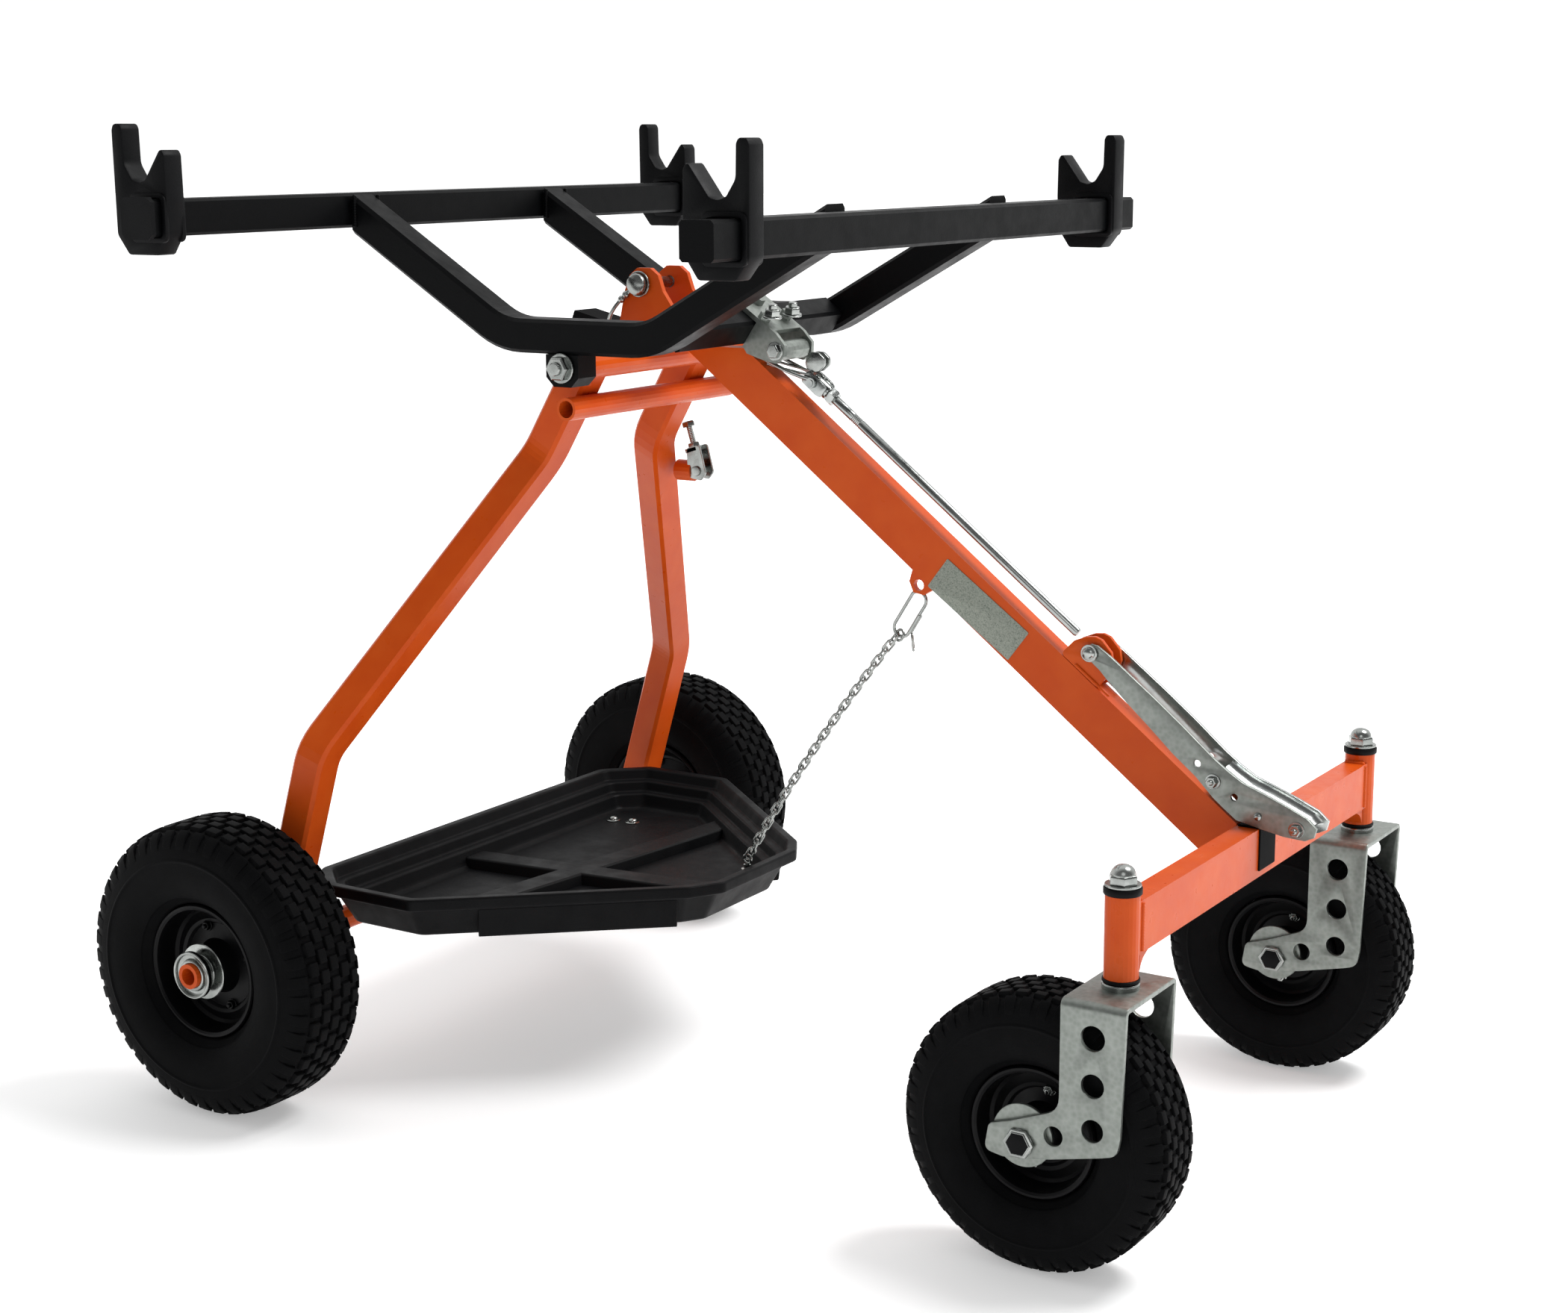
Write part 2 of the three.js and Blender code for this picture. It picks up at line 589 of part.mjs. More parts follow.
for (const [side, s] of [['near', -1], ['far', 1]]) {
  const y = s * STEER_Y;
  add(`castor_fork_${side}`, fork(y), 'galvanised');
  add(`upper_bush_${side}`, bush(y, STEER_Z1 + GAP, 302.7), 'plastic');
  add(`castor_tyre_${side}`, latheY(tyreProfile(CASTOR_R, CASTOR_W, 52), 26, CASTOR_AXLE_X, y, CASTOR_R), 'rubber');
  add(`castor_rim_${side}`, latheY(rimProfile(52, CASTOR_W, 6.6), 20, CASTOR_AXLE_X, y, CASTOR_R), 'black');
  add(`castor_bolt_${side}`, join(
    rodY(6, CASTOR_AXLE_X, CASTOR_R, y - 52, y + 54, 14),
    rodY(10, CASTOR_AXLE_X, CASTOR_R, y - 52, y - 44.4, 6),
    rodY(10, CASTOR_AXLE_X, CASTOR_R, y + 44.4, y + 52, 6),
  ), 'zinc');
}

// ---------- rear wheels ----------
for (const [side, s] of [['near', -1], ['far', 1]]) {
  const y = s * REAR_Y;
  add(`rear_tyre_${side}`, latheY(tyreProfile(REAR_R, REAR_W, 60), 28, 0, y, REAR_R), 'rubber');
  add(`rear_rim_${side}`, latheY(rimProfile(60, REAR_W, AXLE_R + 0.5), 20, 0, y, REAR_R), 'black');
  const hubY = s < 0 ? [-383, -366.5] : [366.5, 383];
  add(`hub_collar_${side}`, tubeY(25, AXLE_R + GAP, 0, REAR_R, ...hubY, 20), 'zinc');
}

// ---------- tray ----------
const rimLine = [[-4, -213], [36, -250], [132, -250], [318, -90], [336, -60], [336, 60], [318, 90], [132, 250], [36, 250], [-4, 213]];
const floorScale = (p, d) => {
  const cx = 150;
  const len = Math.hypot(p[0] - cx, p[1]);
  return [p[0] - ((p[0] - cx) / len) * d, p[1] * (1 - d / len)];
};
function loft(lower, z0, upper, z1) {
  const n = lower.length;
  const v = [];
  for (const [x, y] of lower) v.push(x, y, z0);
  for (const [x, y] of upper) v.push(x, y, z1);
  const tri = THREE.ShapeUtils.triangulateShape(lower.map(([x, y]) => new THREE.Vector2(x, y)), []);
  const idx = [];
  for (const [a, b, c] of tri) {
    idx.push(a, c, b);
    idx.push(n + a, n + b, n + c);
  }
  for (let i = 0; i < n; i += 1) {
    const j = (i + 1) % n;
    idx.push(i, j, n + j, i, n + j, n + i);
  }
  const g = new THREE.BufferGeometry();
  g.setAttribute('position', new THREE.Float32BufferAttribute(v, 3));
  g.setIndex(idx);
  return g;
}
const lower = rimLine.map((p) => floorScale(p, 28));
const inUpper = rimLine.map((p) => floorScale(p, 9));
const inLower = rimLine.map((p) => floorScale(p, 33));
const lip = loft(rimLine, TRAY_RIM_Z - 5, rimLine, TRAY_RIM_Z);
const shell = join(lip, loft(lower, TRAY_FLOOR_Z, rimLine.map((p) => floorScale(p, 6)), TRAY_RIM_Z - 1));
const hollow = loft(inLower, TRAY_FLOOR_Z + TRAY_T, inUpper, TRAY_RIM_Z + 1);
const rimClear = plateZ([[-400, -400], [500, -400], [500, 400], [-400, 400]], TRAY_RIM_Z, TRAY_RIM_Z + 9);
add('tray', toGeometry(toSolid(shell).subtract(toSolid(hollow)).subtract(toSolid(rimClear))), 'plastic');

// chain from the tray's front rim up to the snap hook, as one plain line
const chainTop = [
  tabHoleC[0] + ((331 - tabHoleC[0]) / 304) * 33,
  0,
  tabHoleC[1] + ((190 - tabHoleC[1]) / 304) * 33,
];
const chainPath = [[331, 0, 188], [357, 0, 243], [408, 0, 324], chainTop];
add('tray_chain', sweep(ring(0, 0, 4, 8), rounded(chainPath, 40, 1)), 'steel');
const hang = [331 - tabHoleC[0], 190 - tabHoleC[1]];
const hangLen = Math.hypot(...hang);
const SNAP_LONG = 1.5;
const snap = new THREE.TorusGeometry(8.5, 2.2, 8, 16);
snap.scale(SNAP_LONG, 1, 1);
snap.rotateY(Math.atan2(-hang[1], hang[0]));
const snapDrop = 8.5 * SNAP_LONG + 0.4;
snap.translate(tabHoleC[0] + (hang[0] / hangLen) * snapDrop, 0, tabHoleC[1] + (hang[1] / hangLen) * snapDrop);
add('snap_hook', snap, 'zinc');

export default group;
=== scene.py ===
import bpy, bmesh, math, json, random
from mathutils import Vector, Matrix

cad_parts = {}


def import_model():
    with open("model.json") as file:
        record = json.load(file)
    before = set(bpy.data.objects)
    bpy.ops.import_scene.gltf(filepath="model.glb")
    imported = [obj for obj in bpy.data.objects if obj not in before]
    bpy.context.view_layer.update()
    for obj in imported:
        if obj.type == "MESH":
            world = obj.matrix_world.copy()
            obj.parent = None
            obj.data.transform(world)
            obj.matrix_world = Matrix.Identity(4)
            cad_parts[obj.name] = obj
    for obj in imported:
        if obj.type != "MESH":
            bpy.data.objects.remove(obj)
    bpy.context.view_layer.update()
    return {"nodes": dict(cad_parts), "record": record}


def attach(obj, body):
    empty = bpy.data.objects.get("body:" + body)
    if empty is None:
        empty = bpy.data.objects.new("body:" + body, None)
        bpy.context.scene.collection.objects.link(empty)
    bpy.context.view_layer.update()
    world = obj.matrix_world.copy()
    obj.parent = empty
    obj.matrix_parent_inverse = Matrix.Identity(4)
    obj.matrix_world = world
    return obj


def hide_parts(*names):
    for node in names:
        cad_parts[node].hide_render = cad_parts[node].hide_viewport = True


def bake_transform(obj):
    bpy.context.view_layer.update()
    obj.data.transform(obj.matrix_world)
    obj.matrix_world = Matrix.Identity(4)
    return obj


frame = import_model()
N = frame["nodes"]
scene = bpy.context.scene

# Layout in millimetres: x from the rear axle, y from the middle plane, z from the floor.
# A pair is (x, z) unless its comment says otherwise.
SX = -0.371             # the rear axle's X in the row frame, in metres
X, Y, Z = (1, 0, 0), (0, 1, 0), (0, 0, 1)
NEARFAR = (("near", -1), ("far", 1))
REAR_Y, REAR_R, REAR_W, REAR_BEAD = 341, 130, 85, 60
CASTOR_X, CASTOR_Y, CASTOR_R, CASTOR_W, CASTOR_BEAD = 749, 247, 109, 70, 52
STEER_X = 807           # the castors' steering axis
PIVOT = (237, 642)      # the cradle's tilt axis
LOCK_PIN = (230, 706)
LEVER_PIN = (667, 418)
LEVER_BOLTS = ((777.6, 324.6), (849, 294.6))


def P(x, y, z):
    """Millimetres from the rear axle to metres in the row frame."""
    return Vector((x / 1000 + SX, y / 1000, z / 1000))


# ---- camera
CAM_AT = (1533.63, -1841.82, 832.74)
CAM_AIM, CAM_PITCH, CAM_ROLL = 122.466, -11.713, -0.35      # degrees
CAM_FOCAL, PHOTO_WIDTH, SENSOR = 3361.9, 2100, 36           # pixels, pixels, mm


def camera():
    """The camera fitted to the photograph."""
    cam = bpy.data.cameras.new("cam")
    o = bpy.data.objects.new("cam", cam)
    scene.collection.objects.link(o)
    a, p, r = math.radians(CAM_AIM), math.radians(CAM_PITCH), math.radians(CAM_ROLL)
    f = Vector((math.cos(p) * math.cos(a), math.cos(p) * math.sin(a), math.sin(p)))
    rt = Vector((math.sin(a), -math.cos(a), 0))
    up = rt.cross(f)
    r2 = rt * math.cos(r) + up * math.sin(r)
    u2 = up * math.cos(r) - rt * math.sin(r)
    m = Matrix((r2, u2, -f)).transposed().to_4x4()
    m.translation = P(*CAM_AT)
    o.matrix_world = m
    cam.sensor_width = SENSOR
    cam.lens = CAM_FOCAL / PHOTO_WIDTH * SENSOR
    cam.clip_start, cam.clip_end = 0.05, 100
    scene.camera = o


camera()


# ---- materials
RAMP_LOW, RAMP_HIGH = 0.3, 0.7      # where a noise pattern starts and ends its ramp


M = {}                              # materials by name


def new_mat(name):
    m = M[name] = bpy.data.materials.new(name)
    m.use_nodes = True
    t = m.node_tree
    return t, t.nodes["Principled BSDF"]


def coords(t):
    """Object coordinates, from one shared node."""
    for n in t.nodes:
        if n.bl_idname == "ShaderNodeTexCoord":
            return n.outputs["Object"]
    return t.nodes.new("ShaderNodeTexCoord").outputs["Object"]


def noise(t, scale, detail=4, rough=0.55):
    n = t.nodes.new("ShaderNodeTexNoise")
    n.inputs["Scale"].default_value = scale
    n.inputs["Detail"].default_value = detail
    n.inputs["Roughness"].default_value = rough
    t.links.new(coords(t), n.inputs["Vector"])
    return n.outputs["Fac"]


def ramp(t, fac, stops, target):
    """Links a colour ramp of (position, colour) stops to the target socket."""
    r = t.nodes.new("ShaderNodeValToRGB")
    els = r.color_ramp.elements
    while len(els) < len(stops):
        els.new(0.5)
    for e, (pos, col) in zip(els, stops):
        e.position = pos
        e.color = (*col, 1)
    t.links.new(fac, r.inputs["Fac"])
    t.links.new(r.outputs["Color"], target)


def vary_colour(t, b, fac, *stops):
    ramp(t, fac, stops, b.inputs["Base Color"])


def vary_roughness(t, b, fac, low, high):
    ramp(t, fac, [(RAMP_LOW, (low,) * 3), (RAMP_HIGH, (high,) * 3)], b.inputs["Roughness"])


def bump(t, b, height, strength, distance):
    n = t.nodes.new("ShaderNodeBump")
    n.inputs["Strength"].default_value = strength
    n.inputs["Distance"].default_value = distance
    t.links.new(height, n.inputs["Height"])
    t.links.new(n.outputs["Normal"], b.inputs["Normal"])


def orange_paint():
    t, b = new_mat("orange_paint")
    vary_colour(t, b, noise(t, 30, 3, 0.5), (0.3, (0.555, 0.066, 0.005)),
                (0.5, (0.58, 0.075, 0.006)), (0.72, (0.605, 0.086, 0.008)))
    vary_roughness(t, b, noise(t, 90, 3), 0.27, 0.36)
    b.inputs["Specular IOR Level"].default_value = 0.15
    bump(t, b, noise(t, 170, 3, 0.5), 0.12, 0.0006)


def satin_black(name, base, specular, rough, grain, strength, distance):
    """Coated or moulded black; rough is a noise scale with its two roughnesses."""
    t, b = new_mat(name)
    b.inputs["Base Color"].default_value = (*base, 1)
    b.inputs["Specular IOR Level"].default_value = specular
    scale, low, high = rough
    vary_roughness(t, b, noise(t, scale, 3), low, high)
    bump(t, b, noise(t, *grain), strength, distance)


def plated(name, tint, dark, light, rough, grain, strength, distance):
    """Zinc plating; tint is the noise that runs from the dark to the light colour."""
    t, b = new_mat(name)
    b.inputs["Metallic"].default_value = 1
    vary_colour(t, b, noise(t, *tint), (RAMP_LOW, dark), (RAMP_HIGH, light))
    scale, low, high = rough
    vary_roughness(t, b, noise(t, scale, 3), low, high)
    bump(t, b, noise(t, grain, 2), strength, distance)


def galvanised():
    t, b = new_mat("galvanised_steel")
    b.inputs["Metallic"].default_value = 0.9
    v = t.nodes.new("ShaderNodeTexVoronoi")
    v.inputs["Scale"].default_value = 260
    t.links.new(coords(t), v.inputs["Vector"])
    vary_colour(t, b, v.outputs["Distance"], (0.0, (0.20, 0.22, 0.20)), (0.9, (0.27, 0.29, 0.27)))
    vary_roughness(t, b, noise(t, 90, 4), 0.34, 0.5)
    bump(t, b, noise(t, 600, 3), 0.12, 0.0003)


def rubber(name, base, rough):
    t, b = new_mat(name)
    vary_colour(t, b, noise(t, 60, 4), (RAMP_LOW, tuple(k * 0.8 for k in base)),
                (RAMP_HIGH, tuple(k * 1.25 for k in base)))
    b.inputs["Roughness"].default_value = rough
    b.inputs["Specular IOR Level"].default_value = 0.05
    bump(t, b, noise(t, 800, 3), 0.2, 0.0004)


def sticker_film():
    t, b = new_mat("sticker_film")
    speckle = noise(t, 900, 3, 0.7)
    vary_colour(t, b, speckle, (0.30, (0.055, 0.07, 0.055)), (0.42, (0.22, 0.25, 0.21)),
                (0.62, (0.31, 0.335, 0.285)))
    b.inputs["Roughness"].default_value = 0.55
    bump(t, b, speckle, 0.1, 0.0002)


orange_paint()
satin_black("black_powder_coat", (0.002, 0.0022, 0.0025), 0.07, (60, 0.36, 0.5),
            (700, 2, 0.5), 0.18, 0.0004)
satin_black("black_plastic", (0.0026, 0.0028, 0.0033), 0.1, (45, 0.42, 0.58),
            (900, 2, 0.5), 0.25, 0.0004)
satin_black("black_rim", (0.002, 0.002, 0.0024), 0.14, (50, 0.3, 0.45), (500, 2), 0.1, 0.0003)
plated("zinc_plate", (55, 4, 0.6), (0.24, 0.255, 0.245), (0.40, 0.415, 0.40),
       (140, 0.16, 0.3), 420, 0.08, 0.0003)
# Lit copy of the zinc: smoother, with a lighter base colour that is painted highlight.
plated("smooth_zinc_painted_highlight", (70, 3), (0.33, 0.35, 0.345), (0.45, 0.465, 0.45),
       (160, 0.16, 0.26), 500, 0.05, 0.0002)
galvanised()
rubber("black_rubber", (0.003, 0.003, 0.0033), 0.7)
rubber("tyre_rubber", (0.0026, 0.0027, 0.003), 0.62)
sticker_film()


# ---- light and floor
def map_range(t, value, source, target, socket):
    mr = t.nodes.new("ShaderNodeMapRange")
    mr.inputs["From Min"].default_value, mr.inputs["From Max"].default_value = source
    mr.inputs["To Min"].default_value, mr.inputs["To Max"].default_value = target
    t.links.new(value, mr.inputs["Value"])
    t.links.new(mr.outputs["Result"], socket)
    return mr


def world():
    """White surroundings, brighter on one side."""
    w = bpy.data.worlds.new("world")
    scene.world = w
    w.use_nodes = True
    t = w.node_tree
    bg = t.nodes["Background"]
    tc = t.nodes.new("ShaderNodeTexCoord")
    dot = t.nodes.new("ShaderNodeVectorMath")
    dot.operation = "DOT_PRODUCT"
    dot.inputs[1].default_value = (-0.52, 0.82, 0.24)
    t.links.new(tc.outputs["Generated"], dot.inputs[0])
    map_range(t, dot.outputs["Value"], (-0.25, 0.4), (0.2, 1.05), bg.inputs["Strength"])
    bg.inputs["Color"].default_value = (1, 1, 1, 1)


def area(name, loc, target, size, power):
    li = bpy.data.lights.new(name, "AREA")
    li.shape = "DISK"
    li.size = size
    li.energy = power
    o = bpy.data.objects.new(name, li)
    scene.collection.objects.link(o)
    o.location = loc
    o.rotation_mode = "QUATERNION"
    o.rotation_quaternion = (Vector(target) - Vector(loc)).to_track_quat("-Z", "Y")


def floor():
    """Pale floor that glows a little more away from the stand."""
    me = bpy.data.meshes.new("floor")
    s = 30
    me.from_pydata([(-s, -s, 0), (s, -s, 0), (s, s, 0), (-s, s, 0)], [], [(0, 1, 2, 3)])
    o = bpy.data.objects.new("floor", me)
    scene.collection.objects.link(o)
    o.location.z = -0.0005
    t, b = new_mat("floor")
    b.inputs["Base Color"].default_value = (0.9, 0.9, 0.9, 1)
    b.inputs["Roughness"].default_value = 0.9
    b.inputs["Specular IOR Level"].default_value = 0.1
    b.inputs["Emission Color"].default_value = (1, 1, 1, 1)
    n = t.nodes.new("ShaderNodeVectorMath")
    n.operation = "LENGTH"
    t.links.new(coords(t), n.inputs[0])
    glow = map_range(t, n.outputs["Value"], (0.45, 1.9), (0.34, 0.7),
                     b.inputs["Emission Strength"])
    glow.interpolation_type = "SMOOTHSTEP"
    me.materials.append(M["floor"])


world()
area("key", (1.5, 1.0, 3.0), (0, 0, 0.2), 1.5, 90)
area("front", (1.6, -2.6, 1.7), (0.1, 0, 0.4), 1.6, 8)
floor()
scene.view_settings.view_transform = "Standard"


# ---- mesh helpers
def frame_at(o, z, x=None):
    """Matrix whose local z runs along z, at point o (millimetres)."""
    z = Vector(z).normalized()
    x = Vector(x or (X if abs(z.x) < 0.9 else Y))
    y = z.cross(x).normalized()
    x = y.cross(z)
    m = Matrix((x, y, z)).transposed().to_4x4()
    m.translation = Vector(o)
    return m


def ring_faces(n, a, b):
    """Quads between two rings of n vertices that start at a and b."""
    return [[a + i, a + (i + 1) % n, b + (i + 1) % n, b + i] for i in range(n)]


class Solid:
    """Collects closed shapes in millimetres and makes one object of them."""

    def __init__(self):
        self.v, self.f = [], []

    def add(self, verts, faces, m=None):
        k = len(self.v)
        self.v += [(m @ Vector(p)) if m else Vector(p) for p in verts]
        self.f += [[i + k for i in f] for f in faces]

    def lathe(self, prof, n, m, closed=False):
        """prof is (radius, height) from one pole to the other, or a closed loop."""
        verts, faces, rings = [], [], []
        for r, h in prof:
            if r == 0:
                rings.append([len(verts)])
                verts.append((0, 0, h))
            else:
                rings.append(list(range(len(verts), len(verts) + n)))
                verts += [(r * math.cos(2 * math.pi * i / n), r * math.sin(2 * math.pi * i / n), h)
                          for i in range(n)]
        pairs = list(zip(rings, rings[1:])) + ([(rings[-1], rings[0])] if closed else [])
        for a, b in pairs:
            for i in range(n):
                j = (i + 1) % n
                if len(a) == 1:
                    faces.append([a[0], b[j], b[i]])
                elif len(b) == 1:
                    faces.append([a[i], a[j], b[0]])
                else:
                    faces.append([a[i], a[j], b[j], b[i]])
        self.add(verts, faces, m)

    def bar(self, r, h0, h1, n, m):
        """Plain round bar from h0 to h1."""
        self.lathe([(0, h0), (r, h0), (r, h1), (0, h1)], n, m)

    def disc(self, r, r_top, h0, h1, h2, n, m):
        """Washer or bolt end: straight to h1, then narrowing to r_top at h2."""
        self.lathe([(0, h0), (r, h0), (r, h1), (r_top, h2), (0, h2)], n, m)

    def prism(self, pts, h0, h1, m):
        n = len(pts)
        f = [list(range(n))[::-1], list(range(n, 2 * n))] + ring_faces(n, 0, n)
        self.add([(x, y, h0) for x, y in pts] + [(x, y, h1) for x, y in pts], f, m)

    def hexa(self, r, h0, h1, m, cham=0.12):
        """Hexagon head or nut with a chamfered top."""
        c = (h1 - h0) * 0.22
        v = []
        for q, h in ((r, h0), (r, h1 - c), (r * (1 - cham), h1)):
            v += [(q * math.cos(math.pi / 3 * i), q * math.sin(math.pi / 3 * i), h)
                  for i in range(6)]
        f = [list(range(6))[::-1], list(range(12, 18))] + ring_faces(6, 0, 6)
        self.add(v, f + ring_faces(6, 6, 12), m)

    def tube(self, pts, r, n=8, closed=False):
        """Round bar along points; r may be a number or one radius for each point."""
        pts = [Vector(p) for p in pts]
        count = len(pts)
        rr = [r] * count if isinstance(r, (int, float)) else r
        tan = []
        for i in range(count):
            a = pts[(i - 1) % count] if closed or i else pts[i]
            b = pts[(i + 1) % count] if closed or i < count - 1 else pts[i]
            tan.append((b - a).normalized())
        up = Vector(Z if abs(tan[0].z) < 0.9 else Y)
        u = (up - tan[0] * up.dot(tan[0])).normalized()
        verts = []
        for i in range(count):
            u = (u - tan[i] * u.dot(tan[i])).normalized()
            w = tan[i].cross(u)
            for k in range(n):
                t = 2 * math.pi * k / n
                verts.append(pts[i] + u * (math.cos(t) * rr[i]) + w * (math.sin(t) * rr[i]))
        faces = []
        for i in range(count if closed else count - 1):
            faces += ring_faces(n, i * n, (i + 1) % count * n)
        if not closed:
            faces += [list(range(n))[::-1], list(range((count - 1) * n, count * n))]
        self.add(verts, faces)

    def make(self, name, slot, body, replaces=(), bevel=None, seg=2, mat=None, smooth=35):
        """The object: slot and body may be None, bevel is in millimetres."""
        me = bpy.data.meshes.new(name)
        me.from_pydata([P(*v) for v in self.v], [], self.f)
        bm = bmesh.new()
        bm.from_mesh(me)
        bmesh.ops.recalc_face_normals(bm, faces=bm.faces)
        bm.to_mesh(me)
        bm.free()
        o = bpy.data.objects.new(name, me)
        scene.collection.objects.link(o)
        me.materials.append(mat or M[slot])
        for p in me.polygons:
            p.use_smooth = True
        me.set_sharp_from_angle(angle=math.radians(smooth))
        if bevel:
            add_bevel(o, bevel, seg, smooth)
            o.modifiers.new("wn", "WEIGHTED_NORMAL").keep_sharp = False
        if body:
            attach(o, body)
        if replaces:
            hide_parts(*replaces)
        return o


def add_bevel(o, width, segments, angle):
    b = o.modifiers.new("bevel", "BEVEL")
    b.width = width / 1000
    b.segments = segments
    b.limit_method = "ANGLE"
    b.angle_limit = math.radians(angle)


def fillet(pts, radii, n=5):
    """Rounds the corners of a closed outline; radii is a number or a list."""
    out = []
    for i, p in enumerate(pts):
        r = radii[i] if isinstance(radii, list) else radii
        a, b, p = Vector(pts[i - 1]), Vector(pts[(i + 1) % len(pts)]), Vector(p)
        d1, d2 = (a - p), (b - p)
        l1, l2 = d1.length, d2.length
        d1.normalize()
        d2.normalize()
        ang = d1.angle(d2)
        if r <= 0 or ang > math.radians(176):
            out.append(tuple(p))
            continue
        t = min(r / math.tan(ang / 2), l1 * 0.48, l2 * 0.48)
        s, e = p + d1 * t, p + d2 * t
        for k in range(n + 1):
            q = k / n
            out.append(tuple(s * (1 - q) ** 2 + p * (2 * q * (1 - q)) + e * q * q))
    return out


def square(cx, cy, half):
    return [(cx - half, cy - half), (cx + half, cy - half),
            (cx + half, cy + half), (cx - half, cy + half)]


def circle(cx, cy, r, n=28):
    return [(cx + r * math.cos(2 * math.pi * i / n), cy + r * math.sin(2 * math.pi * i / n))
            for i in range(n)]


def circle_pts(c, r, n, k=20):
    """Circle of k points in space, round the axis n."""
    n = Vector(n).normalized()
    u = Vector(X if abs(n.x) < 0.9 else Z)
    u = (u - n * u.dot(n)).normalized()
    w = n.cross(u)
    return [Vector(c) + (u * math.cos(2 * math.pi * i / k) + w * math.sin(2 * math.pi * i / k)) * r
            for i in range(k)]


def oval(c, d, n, length, width, k=20):
    """Stadium loop with its long side along d; n is the flat face's normal."""
    c, d, n = Vector(c), Vector(d).normalized(), Vector(n).normalized()
    w = n.cross(d)
    r = width / 2
    half = length / 2 - r
    out = []
    for i in range(k):
        t = 2 * math.pi * i / k
        cx, cy = math.cos(t), math.sin(t)
        out.append(c + d * (math.copysign(half, cx) + r * cx) + w * (r * cy))
    return out


def plate_mesh(outline, holes, thick, m, bevel=0.6):
    """Plate with holes and rounded edges, centred on the matrix's own plane."""
    cu = bpy.data.curves.new("plate", "CURVE")
    cu.dimensions = "2D"
    cu.fill_mode = "BOTH"
    cu.extrude = (thick / 2 - bevel) / 1000
    cu.bevel_depth = bevel / 1000
    cu.bevel_resolution = 1
    cu.offset = -bevel / 1000
    for loop in [outline] + list(holes):
        sp = cu.splines.new("POLY")
        sp.points.add(len(loop) - 1)
        for q, (x, y) in zip(sp.points, loop):
            q.co = (x / 1000, y / 1000, 0, 1)
        sp.use_cyclic_u = True
    ob = bpy.data.objects.new("plate", cu)
    scene.collection.objects.link(ob)
    bpy.context.view_layer.update()
    deps = bpy.context.evaluated_depsgraph_get()
    me = bpy.data.meshes.new_from_object(ob.evaluated_get(deps))
    bpy.data.objects.remove(ob)
    bm = bmesh.new()
    bm.from_mesh(me)
    bmesh.ops.remove_doubles(bm, verts=bm.verts, dist=1e-6)
    bmesh.ops.recalc_face_normals(bm, faces=bm.faces)
    verts = [m @ (v.co * 1000) for v in bm.verts]
    bm.verts.index_update()
    faces = [[v.index for v in f.verts] for f in bm.faces]
    bm.free()
    bpy.data.meshes.remove(me)
    return verts, faces


def xz(y):
    """Matrix for an outline drawn in X and Z, on the plane at y."""
    m = Matrix(((1, 0, 0), (0, 0, -1), (0, 1, 0))).to_4x4()
    m.translation = Vector((0, y, 0))
    return m


# ---- tyres
# Carcass: SIDE is (share of the height, share of half the width), CROWN the other way round
SIDE = [(0.0, 0.60), (0.03, 0.68), (0.09, 0.78), (0.10, 0.83), (0.14, 0.87), (0.22, 0.935),
        (0.34, 0.975), (0.46, 0.985), (0.56, 0.975), (0.575, 0.995), (0.60, 0.995), (0.615, 0.965),
        (0.70, 0.945), (0.79, 0.89), (0.87, 0.80), (0.925, 0.66), (0.945, 0.48), (0.955, 0.25)]
CROWN = [(0, 0.958), (0.25, 0.957), (0.48, 0.95), (0.66, 0.935), (0.80, 0.88), (0.90, 0.80),
         (0.98, 0.66)]
# Tread rows: from and to across the width, phase, share of the pitch that is block
TREAD = [(-0.935, -0.70, 0.25, 0.66), (-0.66, -0.43, 0.75, 0.74), (-0.40, -0.155, 0.25, 0.74),
         (-0.125, 0.125, 0.75, 0.74), (0.155, 0.40, 0.25, 0.74), (0.43, 0.66, 0.75, 0.74),
         (0.70, 0.935, 0.25, 0.66)]
SUNK = 1.5              # how deep a block's foot sits in the carcass


